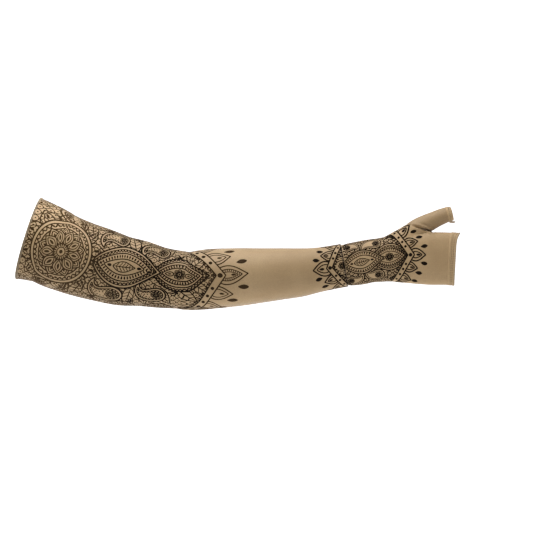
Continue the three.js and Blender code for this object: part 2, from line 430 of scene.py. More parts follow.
def vertex_vectors(mesh: bpy.types.Mesh, name: str) -> Points:
    """Reads a vector of every vertex.

    Args:
        mesh: the mesh.
        name: what is read: co is the place in metres, normal the outward direction.

    Returns:
        One row for each vertex.
    """
    values = np.empty(len(mesh.vertices) * 3)
    mesh.vertices.foreach_get(name, values)
    return values.reshape(-1, 3)


def apply_modifiers(piece: bpy.types.Object) -> None:
    """Puts the mesh that a piece's modifiers make in the place of its own.

    Args:
        piece: the piece.
    """
    evaluated = piece.evaluated_get(bpy.context.evaluated_depsgraph_get())
    mesh = bpy.data.meshes.new_from_object(evaluated)
    piece.modifiers.clear()
    piece.data = mesh


def ring_faces(rings: int, count: int, closed: bool) -> list[Face]:
    """Joins rings of equal count to each other in turn.

    Args:
        rings: how many rings there are.
        count: how many points each ring has.
        closed: whether the last ring joins the first.

    Returns:
        The four-sided faces.
    """
    ring = np.arange(rings if closed else rings - 1)[:, None] * count
    after = (np.arange(1, rings + 1) % rings)[: len(ring)][:, None] * count
    here, beside = np.arange(count)[None, :], (np.arange(count)[None, :] + 1) % count
    corners = [ring + here, after + here, after + beside, ring + beside]
    return np.stack(corners, axis=-1).reshape(-1, 4).tolist()


def weave_coordinates(piece: bpy.types.Object, along: Points, around: Points, wrap: float) -> None:
    """Stores how far along and round the cloth each corner lies, in millimetres, for the knit.

    Args:
        piece: the piece of cloth.
        along: each vertex's distance along.
        around: each vertex's distance round.
        wrap: the distance round at which the cloth meets itself.
    """
    mesh = piece.data
    corner = np.empty(len(mesh.loops), dtype=np.int32)
    mesh.loops.foreach_get("vertex_index", corner)
    total = np.empty(len(mesh.polygons), dtype=np.int32)
    mesh.polygons.foreach_get("loop_total", total)
    start = np.concatenate([[0], np.cumsum(total)[:-1]])
    v = around[corner]
    first = np.repeat(v[start], total)
    v = np.where(v - first > wrap / 2, v - wrap, np.where(first - v > wrap / 2, v + wrap, v))
    layer = mesh.uv_layers.new(name="weave")
    layer.data.foreach_set("uv", np.stack([along[corner], v], axis=-1).ravel().astype(np.float32))
    mesh.update()


class NodeSheet:
    """A shorthand for laying nodes in a material's or group's tree."""

    def __init__(self, tree: bpy.types.NodeTree) -> None:
        """Takes the tree to lay nodes in."""
        self.tree = tree

    def node(self, kind: str, **settings: object) -> bpy.types.Node:
        """Adds a node.

        Args:
            kind: Blender's name of the node.
            settings: the node's settings by name.

        Returns:
            The node.
        """
        made = self.tree.nodes.new(kind)
        for name, value in settings.items():
            setattr(made, name, value)
        return made

    def link(self, source: bpy.types.NodeSocket, target: bpy.types.NodeSocket) -> None:
        """Links two sockets."""
        self.tree.links.new(source, target)

    def math(self, operation: str, first: object, second: object = None, third: object = None,
             clamp: bool = False) -> bpy.types.NodeSocket:
        """Adds a Math node.

        Args:
            operation: Blender's name of the operation.
            first: a socket or a number.
            second: a socket or a number, if the operation takes one.
            third: a socket or a number, if the operation takes one.
            clamp: whether the result stays between 0 and 1.

        Returns:
            The node's output.
        """
        made = self.node("ShaderNodeMath", operation=operation, use_clamp=clamp)
        for socket, value in zip(made.inputs, (first, second, third)):
            if isinstance(value, bpy.types.NodeSocket):
                self.link(value, socket)
            elif value is not None:
                socket.default_value = value
        return made.outputs[0]

    def blend(self, share: object, first: object, second: object,
              mode: str = "MIX") -> bpy.types.NodeSocket:
        """Adds a colour mix.

        Args:
            share: how much of the second, a socket or a number.
            first: a colour or a socket.
            second: a colour or a socket.
            mode: Blender's name of the blend mode.

        Returns:
            The mixed colour's socket.
        """
        made = self.node("ShaderNodeMix", data_type="RGBA", blend_type=mode)
        for socket, value in ((made.inputs[0], share), (made.inputs[6], first), (made.inputs[7], second)):
            if isinstance(value, bpy.types.NodeSocket):
                self.link(value, socket)
            else:
                socket.default_value = value
        return made.outputs[2]


def new_group(name: str, inputs: Sequence[tuple[str, str, float]],
              outputs: Sequence[tuple[str, str]]) -> tuple[bpy.types.NodeTree, NodeSheet, object, object]:
    """Starts a shader node group.

    Args:
        name: the group's name.
        inputs: name, socket type and default of each input.
        outputs: name and socket type of each output.

    Returns:
        The tree, its sheet, and its input and output nodes.
    """
    tree = bpy.data.node_groups.new(name, "ShaderNodeTree")
    for label, kind, default in inputs:
        socket = tree.interface.new_socket(label, in_out="INPUT", socket_type=kind)
        if kind == "NodeSocketFloat":
            socket.default_value = default
    for label, kind in outputs:
        tree.interface.new_socket(label, in_out="OUTPUT", socket_type=kind)
    sheet = NodeSheet(tree)
    return tree, sheet, sheet.node("NodeGroupInput"), sheet.node("NodeGroupOutput")


def knit_loops_group() -> bpy.types.NodeTree:
    """Makes the knit: columns of V-shaped loops, as a height and as a shade of each loop.

    Returns:
        The node group.
    """
    tree, sheet, given, out = new_group(
        "Knit loops",
        [("Place", "NodeSocketVector", 0), ("Loop width", "NodeSocketFloat", 0.9),
         ("Loop height", "NodeSocketFloat", 0.7)],
        [("Height", "NodeSocketFloat"), ("Shade", "NodeSocketFloat")],
    )
    split = sheet.node("ShaderNodeSeparateXYZ")
    sheet.link(given.outputs["Place"], split.inputs[0])
    column = sheet.math("DIVIDE", split.outputs["Y"], given.outputs["Loop width"])
    course = sheet.math("DIVIDE", split.outputs["X"], given.outputs["Loop height"])
    across = sheet.math("ABSOLUTE", sheet.math("SUBTRACT", sheet.math("FRACT", column), 0.5))
    leaning = sheet.math("ADD", course, sheet.math("MULTIPLY", across, 1.6))
    wave = sheet.math("COSINE", sheet.math("MULTIPLY", leaning, TURN))
    wale = sheet.math("COSINE", sheet.math("MULTIPLY", sheet.math("SUBTRACT", across, 0.25), TURN))
    height = sheet.math("ADD", sheet.math("MULTIPLY", wave, 0.3), sheet.math("MULTIPLY", wale, 0.45))
    sheet.link(sheet.math("ADD", height, 0.5), out.inputs["Height"])
    cell = sheet.node("ShaderNodeCombineXYZ")
    sheet.link(sheet.math("FLOOR", column), cell.inputs["X"])
    sheet.link(sheet.math("FLOOR", leaning), cell.inputs["Y"])
    speck = sheet.node("ShaderNodeTexWhiteNoise", noise_dimensions="3D")
    sheet.link(cell.outputs[0], speck.inputs["Vector"])
    sheet.link(speck.outputs["Value"], out.inputs["Shade"])
    return tree


def cloth_drift_group() -> bpy.types.NodeTree:
    """Makes the slow drift of colour over worn cloth, and its faint lengthwise streaks.

    Returns:
        The node group.
    """
    tree, sheet, given, out = new_group(
        "Cloth drift",
        [("Place", "NodeSocketVector", 0), ("Patch size", "NodeSocketFloat", 0.04),
         ("Streaks", "NodeSocketFloat", 0.3)],
        [("Shade", "NodeSocketFloat")],
    )
    where = sheet.node("ShaderNodeNewGeometry")
    patches = sheet.node("ShaderNodeTexNoise", noise_dimensions="3D")
    patches.inputs["Detail"].default_value = 3
    sheet.link(where.outputs["Position"], patches.inputs["Vector"])
    sheet.link(sheet.math("DIVIDE", 1, given.outputs["Patch size"]), patches.inputs["Scale"])
    stretched = sheet.node("ShaderNodeVectorMath", operation="MULTIPLY")
    stretched.inputs[1].default_value = (0.02, 0.9, 1)
    sheet.link(given.outputs["Place"], stretched.inputs[0])
    streaks = sheet.node("ShaderNodeTexNoise", noise_dimensions="3D")
    streaks.inputs["Scale"].default_value = 1
    streaks.inputs["Detail"].default_value = 2
    sheet.link(stretched.outputs[0], streaks.inputs["Vector"])
    both = sheet.math("MULTIPLY_ADD", sheet.math("SUBTRACT", streaks.outputs["Fac"], 0.5),
                      given.outputs["Streaks"], patches.outputs["Fac"])
    sheet.link(sheet.math("MULTIPLY_ADD", sheet.math("SUBTRACT", both, 0.5), 1.8, 0.5, clamp=True),
               out.inputs["Shade"])
    return tree


def thin_print_group() -> bpy.types.NodeTree:
    """Makes the mask of where the sleeve's ink lies thinner, towards both ends of the print.

    Returns:
        The node group.
    """
    tree, sheet, given, out = new_group(
        "Thin print",
        [("Middle", "NodeSocketFloat", 0.185), ("Full reach", "NodeSocketFloat", 0.045),
         ("Fade", "NodeSocketFloat", 0.07)],
        [("Share", "NodeSocketFloat")],
    )
    where = sheet.node("ShaderNodeNewGeometry")
    split = sheet.node("ShaderNodeSeparateXYZ")
    sheet.link(where.outputs["Position"], split.inputs[0])
    away = sheet.math("ABSOLUTE", sheet.math("SUBTRACT", split.outputs["X"], given.outputs["Middle"]))
    beyond = sheet.math("SUBTRACT", away, given.outputs["Full reach"])
    sheet.link(sheet.math("DIVIDE", beyond, given.outputs["Fade"], clamp=True), out.inputs["Share"])
    return tree


KNIT_LOOPS = knit_loops_group()
CLOTH_DRIFT = cloth_drift_group()
THIN_PRINT = thin_print_group()


def linear(red: int, green: int, blue: int) -> tuple[float, float, float, float]:
    """Turns a screen colour of 0 to 255 into the linear colour that a shader takes."""
    return tuple((v / 255 / 12.92) if v <= 10 else ((v / 255 + 0.055) / 1.055) ** 2.4
                 for v in (red, green, blue)) + (1.0,)


@dataclass(frozen=True)
class KnitFinish:
    """A knitted cloth: its colours, the size of its loops, and how they stand and shine."""

    name: str
    pale: tuple[int, int, int]
    deep: tuple[int, int, int]
    loop_width: float = 0.95
    loop_height: float = 0.75
    relief: float = 0.22
    fleck: float = 0.16
    roughness: float = 0.58
    gloss: float = 0.42
    sheen: float = 0.85
    sheen_roughness: float = 0.32
    sheen_tint: tuple[int, int, int] = (245, 240, 236)
    patch_size: float = 0.05
    thin: Optional[tuple[int, int, int]] = None

    def material(self) -> bpy.types.Material:
        """Builds the finish.

        Returns:
            The material.
        """
        made = bpy.data.materials.new(self.name)
        made.use_nodes = True
        sheet = NodeSheet(made.node_tree)
        shader = made.node_tree.nodes["Principled BSDF"]
        shader.inputs["Roughness"].default_value = self.roughness
        shader.inputs["Specular IOR Level"].default_value = self.gloss
        shader.inputs["Sheen Weight"].default_value = self.sheen
        shader.inputs["Sheen Roughness"].default_value = self.sheen_roughness
        shader.inputs["Sheen Tint"].default_value = linear(*self.sheen_tint)
        place = sheet.node("ShaderNodeUVMap", uv_map="weave").outputs[0]
        loops = sheet.node("ShaderNodeGroup", node_tree=KNIT_LOOPS)
        loops.inputs["Loop width"].default_value = self.loop_width
        loops.inputs["Loop height"].default_value = self.loop_height
        sheet.link(place, loops.inputs["Place"])
        drift = sheet.node("ShaderNodeGroup", node_tree=CLOTH_DRIFT)
        drift.inputs["Patch size"].default_value = self.patch_size
        sheet.link(place, drift.inputs["Place"])
        cloth = sheet.blend(drift.outputs["Shade"], linear(*self.deep), linear(*self.pale))
        if self.thin:
            fade = sheet.node("ShaderNodeGroup", node_tree=THIN_PRINT)
            cloth = sheet.blend(fade.outputs["Share"], cloth, linear(*self.thin))
        shade = sheet.math("MULTIPLY_ADD", loops.outputs["Shade"], self.fleck, 1 - self.fleck / 2)
        # Painted shade: the colour darkens where the knit's loops lie low, as if shade fell in the grooves
        # between them.
        painted_groove_shade = sheet.math("MULTIPLY_ADD", loops.outputs["Height"], 0.2, 0.88)
        grey = sheet.node("ShaderNodeCombineColor")
        for socket in grey.inputs[:3]:
            sheet.link(sheet.math("MULTIPLY", shade, painted_groove_shade), socket)
        sheet.link(sheet.blend(1.0, cloth, grey.outputs[0], "MULTIPLY"), shader.inputs["Base Color"])
        bump = sheet.node("ShaderNodeBump")
        bump.inputs["Strength"].default_value = self.relief
        bump.inputs["Distance"].default_value = 0.3 * MM
        sheet.link(loops.outputs["Height"], bump.inputs["Height"])
        sheet.link(bump.outputs[0], shader.inputs["Normal"])
        return made


@dataclass(frozen=True)
class ThreadFinish:
    """A sewing thread: its two colours, how dense its twist is and how it stands out and shines."""

    name: str
    pale: tuple[int, int, int]
    deep: tuple[int, int, int]
    twist: float = 900.0
    relief: float = 0.4
    roughness: float = 0.6
    sheen: float = 0.2

    def material(self) -> bpy.types.Material:
        """Builds the finish.

        Returns:
            The material.
        """
        made = bpy.data.materials.new(self.name)
        made.use_nodes = True
        sheet = NodeSheet(made.node_tree)
        shader = made.node_tree.nodes["Principled BSDF"]
        shader.inputs["Roughness"].default_value = self.roughness
        shader.inputs["Sheen Weight"].default_value = self.sheen
        where = sheet.node("ShaderNodeNewGeometry")
        strands = sheet.node("ShaderNodeTexWave", wave_type="BANDS", bands_direction="DIAGONAL")
        strands.inputs["Scale"].default_value = self.twist
        sheet.link(where.outputs["Position"], strands.inputs["Vector"])
        sheet.link(sheet.blend(strands.outputs["Fac"], linear(*self.deep), linear(*self.pale)),
                   shader.inputs["Base Color"])
        bump = sheet.node("ShaderNodeBump")
        bump.inputs["Strength"].default_value = self.relief
        bump.inputs["Distance"].default_value = 0.1 * MM
        sheet.link(strands.outputs["Fac"], bump.inputs["Height"])
        sheet.link(bump.outputs[0], shader.inputs["Normal"])
        return made


SLEEVE_KNIT = KnitFinish("sleeve knit", (175, 148, 110), (159, 132, 95))
HAND_KNIT = KnitFinish("hand knit", (179, 151, 112), (163, 135, 97))
# Painted shade: the stall's knit is darker than the hand's to stand in for the shade on the thumb's
# underside.
SHADED_STALL_KNIT = KnitFinish("stall knit painted shade", (160, 134, 98), (144, 118, 83))
HEM_KNIT = KnitFinish("hem knit", (186, 158, 118), (167, 139, 101), loop_width=0.8, relief=0.3)
# Painted shadow: the wrist edge's knit is dark to stand in for the shadow line where the sleeve's edge lies
# over the hand part.
WRIST_SHADOW_KNIT = KnitFinish("wrist edge painted shadow knit", (106, 88, 64), (84, 69, 49), loop_width=0.7, relief=0.35)
EDGE_KNIT = KnitFinish("edge knit", (146, 128, 100), (116, 100, 76), loop_width=0.7, relief=0.35)
SLEEVE_INK = KnitFinish("sleeve print", (20, 12, 5), (11, 6, 2), fleck=0.3, roughness=0.7, gloss=0.05,
                        sheen=0.65, sheen_tint=(208, 164, 110), patch_size=0.03, thin=(57, 43, 26))
HAND_INK = KnitFinish("hand print", (26, 17, 8), (15, 9, 4), fleck=0.3, roughness=0.7, gloss=0.05,
                      sheen=0.65, sheen_tint=(208, 164, 110), patch_size=0.03)
PALE_THREAD = ThreadFinish("pale thread", (206, 190, 162), (170, 150, 120))
BROWN_THREAD = ThreadFinish("brown thread", (112, 92, 66), (84, 68, 48))
TAN_THREAD = ThreadFinish("tan thread", (176, 156, 124), (134, 114, 86))


def dress(piece: bpy.types.Object, finish: bpy.types.Material, slot: str, *nodes: str) -> None:
    """Gives a piece its material and body, and reports it.

    Args:
        piece: the piece.
        finish: its material.
        slot: not used.
        nodes: the nodes that it stands for.
    """
    piece.data.materials.clear()
    piece.data.materials.append(finish)
    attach(piece, BODY)
    if nodes:
        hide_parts(*nodes)
    LOG.info("%s: %d faces", piece.name, len(piece.data.polygons))


@dataclass
class ArmSleeve:
    """The long knitted sleeve, whose ends run under its two finished edges."""

    rings: int = 400
    around: int = 168
    inner_rings: int = 90
    tuck: float = 1.4
    girth: float = 300.0

    def build(self) -> bpy.types.Object:
        """Builds the sleeve's wall, from inside one edge to inside the other.

        Returns:
            The sleeve.
        """
        start, end = self.tuck, ARM.length - self.tuck
        outer = np.linspace(start, end, self.rings)
        inner = np.linspace(end, start, self.inner_rings)
        distance = np.concatenate([outer, inner])
        inset = np.concatenate([np.zeros(self.rings), np.full(self.inner_rings, WALL)])
        share = np.arange(self.around) / self.around * 2 - 1
        points = ARM.skin(distance[:, None], share[None, :], inset[:, None])
        piece = new_object("arm_sleeve_knit", points, ring_faces(len(distance), self.around, True))
        weave_coordinates(piece, np.repeat(distance, self.around),
                          np.tile((share + 1) / 2 * self.girth, len(distance)), self.girth)
        dress(piece, SLEEVE_KNIT.material(), "sleeve_knit", "arm_sleeve")
        return piece


Profile = tuple[tuple[float, float], ...]


@dataclass
class Band:
    """A hem or edge: a ring of folded cloth, whose profile holds shares of its width and stands."""

    name: str
    limb: Limb
    width: float
    at_start: bool
    profile: Profile
    around: int
    girth: float
    ripple: float = 0.0
    ripples: int = 0
    lining: float = 0.3

    def distance(self, share: Points) -> Points:
        """Gives the distance along the limb at a share of the band's width from its free edge."""
        run = np.asarray(share) * self.width
        return run if self.at_start else self.limb.length - run

    def build(self, finish: bpy.types.Material, slot: str, *nodes: str) -> bpy.types.Object:
        """Builds the band.

        Args:
            finish: its material.
            slot: the slot's name, passed on to dress().
            nodes: the nodes that it stands for.

        Returns:
            The band, a closed ring.
        """
        rows = [(share, -stand) for share, stand in self.profile]
        rows += [(1.0, WALL + self.lining), (0.5, WALL + self.lining + 0.1), (0.08, WALL + self.lining),
                 (0.0, WALL * 0.6)]
        share = np.arange(self.around) / self.around * 2 - 1
        at = self.distance(np.array([r[0] for r in rows]))
        inset = np.array([r[1] for r in rows])[:, None] + np.zeros(self.around)
        if self.ripples:
            stands = np.array([1.0 if r[1] < 0 else 0.0 for r in rows])[:, None]
            inset = inset - self.ripple * stands * np.sin(share[None, :] * math.pi * self.ripples)
        points = self.limb.skin(at[:, None], share[None, :], inset)
        faces = ring_faces(len(rows), self.around, True)
        if not self.at_start:
            faces = [face[::-1] for face in faces]
        piece = new_object(self.name, points, faces)
        weave_coordinates(piece, np.repeat(at, self.around),
                          np.tile((share + 1) / 2 * self.girth, len(rows)), self.girth)
        dress(piece, finish, slot, *nodes)
        return piece


def thread_tubes(name: str, paths: Sequence[Points], radius: float, sides: int = 6) -> bpy.types.Object:
    """Builds many short threads as one mesh.

    Args:
        name: the piece's name.
        paths: each thread's centre points.
        radius: the threads' radius.
        sides: how many sides a thread has.

    Returns:
        The joined mesh, each thread a closed tube with rounded ends.
    """
    points: list[Points] = []
    faces: list[Face] = []
    for path in paths:
        steps = np.gradient(path, axis=0)
        steps /= np.linalg.norm(steps, axis=1)[:, None] + 1e-9
        helper = np.array([0.31, 0.87, 0.38])
        side = np.cross(steps, helper)
        side /= np.linalg.norm(side, axis=1)[:, None] + 1e-9
        other = np.cross(steps, side)
        reach = np.linspace(-1, 1, len(path))
        girth = radius * np.sqrt(np.clip(1.06 - reach ** 8, 0.05, 1))
        turn = np.arange(sides) / sides * TURN
        ring = (path[:, None, :] + girth[:, None, None] * (
            np.cos(turn)[None, :, None] * side[:, None, :] + np.sin(turn)[None, :, None] * other[:, None, :]))
        base = sum(len(p) for p in points)
        count = len(path)
        body = ring.reshape(-1, 3)
        points.append(np.vstack([body, path[:1], path[-1:]]))
        faces += [[base + k for k in face] for face in ring_faces(count, sides, False)]
        head, tail = base + count * sides, base + count * sides + 1
        for k in range(sides):
            after = (k + 1) % sides
            faces.append([head, base + k, base + after])
            faces.append([tail, base + (count - 1) * sides + after, base + (count - 1) * sides + k])
    piece = new_object(name, np.vstack(points), faces)
    bm = bmesh.new()
    bm.from_mesh(piece.data)
    bmesh.ops.recalc_face_normals(bm, faces=bm.faces)
    bm.to_mesh(piece.data)
    bm.free()
    return piece


@dataclass(frozen=True)
class StitchRow:
    """A row of stitches round a limb: where it runs, how long its stitches are and how they lean."""

    limb: Limb
    distance: float
    pitch: float
    length: float
    lift: float = 0.25
    lean: float = 0.0
    arch: float = 0.12

    def paths(self) -> list[Points]:
        """Lays out the stitches.

        Returns:
            The centre points of each stitch.
        """
        girth = float(self.limb.girth(self.distance))
        count = max(8, round(girth / self.pitch))
        reach = np.linspace(-0.5, 0.5, 5)
        made = []
        for k in range(count):
            middle = (k / count) * 2 - 1
            share = middle + reach * self.length / girth * 2 * math.cos(self.lean)
            along = self.distance + reach * self.length * math.sin(self.lean)
            stand = -(self.lift + self.arch * (1 - (2 * reach) ** 2))
            made.append(self.limb.skin(along, share, stand))
        return made


@dataclass
class EdgeFinish:
    """A sewn-over cloth edge: slanting threads that lap over the edge."""

    limb: Limb
    at_start: bool
    width: float
    pitch: float

    def paths(self) -> list[Points]:
        """Lays out the threads.

        Returns:
            The centre points of each slanting thread, from the outside over the edge.
        """
        end = 0.0 if self.at_start else self.limb.length
        inward = 1 if self.at_start else -1
        girth = float(self.limb.girth(end))
        count = round(girth / self.pitch)
        run = np.array([1.0, 0.72, 0.4, 0.08, -0.05, -0.02])
        stand = np.array([-0.35, -0.75, -0.85, -0.6, 0.25, 0.9])
        slant = np.linspace(0, 0.8, len(run)) * self.pitch / girth * 2
        return [self.limb.skin(end + inward * run * self.width, (k / count) * 2 - 1 + slant, stand)
                for k in range(count)]


@dataclass(frozen=True)
class SleeveEdges:
    """The finished edges at both ends of the sleeve."""

    upper_profile: Profile = ((0.0, 0.1), (0.12, 0.42), (0.5, 0.5), (0.85, 0.35), (1.0, 0.1))
    upper_around: int = 240
    upper_girth: float = 350.0
    wrist_profile: Profile = ((0.0, 0.05), (0.12, 0.25), (0.5, 0.34), (0.85, 0.25), (1.0, 0.08))
    wrist_around: int = 200
    wrist_girth: float = 170.0
    thread_pitch: float = 1.9
    thread_radius: float = 0.22

    def build(self) -> None:
        """Builds both edges and the threads sewn over the upper one."""
        upper = Band("upper_edge_fold", ARM, UPPER_EDGE_WIDTH, True, self.upper_profile, self.upper_around,
                     self.upper_girth)
        upper.build(EDGE_KNIT.material(), "edge_knit", "upper_edge")
        wrist = Band("wrist_edge_fold", ARM, WRIST_EDGE_WIDTH, False, self.wrist_profile, self.wrist_around,
                     self.wrist_girth)
        # The wrist edge's dark knit is painted shadow along the sleeve's edge.
        wrist.build(WRIST_SHADOW_KNIT.material(), "edge_knit", "wrist_edge")
        paths = EdgeFinish(ARM, True, UPPER_EDGE_WIDTH, self.thread_pitch).paths()
        threads = thread_tubes("upper_edge_threads", paths, self.thread_radius)
        dress(threads, TAN_THREAD.material(), "edge_knit")


@dataclass(frozen=True)
class FingerHem:
    """The folded hem at the knuckles, with two stitched grooves and an edge that is sewn over."""

    profile: Profile = ((0.0, 0.15), (0.05, 0.5), (0.15, 0.62), (0.31, 0.5), (0.37, 0.08), (0.43, 0.52),
                        (0.56, 0.55), (0.62, 0.08), (0.68, 0.5), (0.85, 0.55), (0.96, 0.45), (1.0, 0.1))
    grooves: tuple[float, ...] = (0.37, 0.62)
    around: int = 300
    girth: float = 176.0
    ripple: float = 0.13
    ripples: int = 60
    stitch_pitch: float = 3.4
    stitch_length: float = 1.9
    stitch_lift: float = 0.3
    stitch_radius: float = 0.34
    edging_width: float = 2.3
    edging_pitch: float = 3.3
    edging_radius: float = 0.46

    def build(self, cloth: bpy.types.Material) -> None:
        """Builds the hem, its stitches and its edging.

        Args:
            cloth: the hem's knit.
        """
        fold = Band("finger_hem_fold", PALM, FINGER_HEM_WIDTH, False, self.profile, self.around,
                    self.girth, ripple=self.ripple, ripples=self.ripples)
        fold.build(cloth, "hem_knit", "finger_hem")
        rows = [StitchRow(PALM, PALM.length - share * FINGER_HEM_WIDTH, self.stitch_pitch,
                          self.stitch_length, self.stitch_lift) for share in self.grooves]
        paths = [path for row in rows for path in row.paths()]
        stitches = thread_tubes("finger_hem_stitches", paths, self.stitch_radius)
        dress(stitches, BROWN_THREAD.material(), "hem_knit")
        paths = EdgeFinish(PALM, False, self.edging_width, self.edging_pitch).paths()
        edging = thread_tubes("finger_hem_edging", paths, self.edging_radius)
        dress(edging, PALE_THREAD.material(), "hem_knit")


@dataclass(frozen=True)
class ThumbHem:
    """The folded hem at the stall's end, with one stitched groove."""

    profile: Profile = ((0.0, 0.12), (0.06, 0.4), (0.3, 0.5), (0.48, 0.5), (0.56, 0.02), (0.64, 0.48),
                        (0.85, 0.42), (1.0, 0.08))
    groove: float = 0.56
    around: int = 120
    girth: float = 66.0
    ripple: float = 0.05
    ripples: int = 22
    stitch_pitch: float = 2.6
    stitch_length: float = 1.5
    stitch_lift: float = 0.22
    stitch_radius: float = 0.28

    def build(self, cloth: bpy.types.Material) -> None:
        """Builds the hem and its stitches.

        Args:
            cloth: the hem's knit.
        """
        fold = Band("thumb_hem_fold", THUMB, THUMB_HEM_WIDTH, False, self.profile, self.around,
                    self.girth, ripple=self.ripple, ripples=self.ripples)
        fold.build(cloth, "hem_knit", "thumb_hem")
        row = StitchRow(THUMB, THUMB.length - self.groove * THUMB_HEM_WIDTH, self.stitch_pitch,
                        self.stitch_length, self.stitch_lift)
        stitches = thread_tubes("thumb_hem_stitches", row.paths(), self.stitch_radius)
        dress(stitches, BROWN_THREAD.material(), "hem_knit")


@dataclass
class SeamTail:
    """The loose end of the thumb stall's seam, below its hem: a rolled end with a few stray threads."""

    roll: Sequence[tuple[float, float]] = ((-2.8, 0.1), (-0.6, -0.5), (1.6, -1.0), (3.4, -1.3), (5.0, -1.6))
    strays: Sequence[tuple[float, float, float]] = (
        (6.6, -1.2, 0.6), (6.2, -2.7, -0.5), (5.2, -3.3, 0.3), (6.9, -2.1, -0.2), (4.2, -3.0, -0.9),
        (5.8, -0.6, -0.6), (3.0, -2.9, 0.4), (1.6, -2.4, -0.4))
    radius: float = 1.3
    stray_radius: float = 0.26
    stand: float = 0.75
    girth: float = 80.0

    def _place(self, ahead: float, up: float, aside: float = 0.0) -> Points:
        """Finds a place near the underside of the thumb's hem.

        Args:
            ahead: how far ahead of the hem's middle it lies.
            up: how far above the hem's underside it lies.
            aside: how far to the far side it lies.

        Returns:
            The place.
        """
        distance = THUMB.length - THUMB_HEM_WIDTH / 2
        start = THUMB.surface(distance, -math.pi / 2, -self.stand)
        middle = THUMB.read(np.array([distance]), THUMB.tangents)[0]
        rise = np.array([-middle[2], 0, middle[0]])
        return start + middle * ahead + rise * up + np.array([0, aside, 0])

    def build(self, cloth: bpy.types.Material) -> None:
        """Builds the rolled end and its threads.

        Args:
            cloth: the knit of the rolled end.
        """
        curve = SmoothCurve([self._place(*spot) for spot in self.roll])
        tail = thread_tubes("thumb_seam_roll", [curve.at(np.linspace(0, 1, 14))], self.radius, 10)
        still = np.zeros(len(tail.data.vertices))
        weave_coordinates(tail, still, still, self.girth)
        dress(tail, cloth, "hem_knit", "thumb_seam_tail")
        paths = []
        for ahead, up, aside in self.strays:
            bend = self._place(ahead * 0.8, up * 0.6, aside * 0.2)
            curve = SmoothCurve([self._place(2.4, -0.4), bend, self._place(ahead, up, aside)])
            paths.append(curve.at(np.linspace(0, 1, 9)))
        strays = thread_tubes("thumb_seam_threads", paths, self.stray_radius, 5)
        dress(strays, TAN_THREAD.material(), "hem_knit")


@dataclass(frozen=True)
class Fold:
    """A fold pressed into the near side of the hand part: where it runs, how wide and how deep it is."""

    start: tuple[float, float]
    end: tuple[float, float]
    width: float
    depth: float


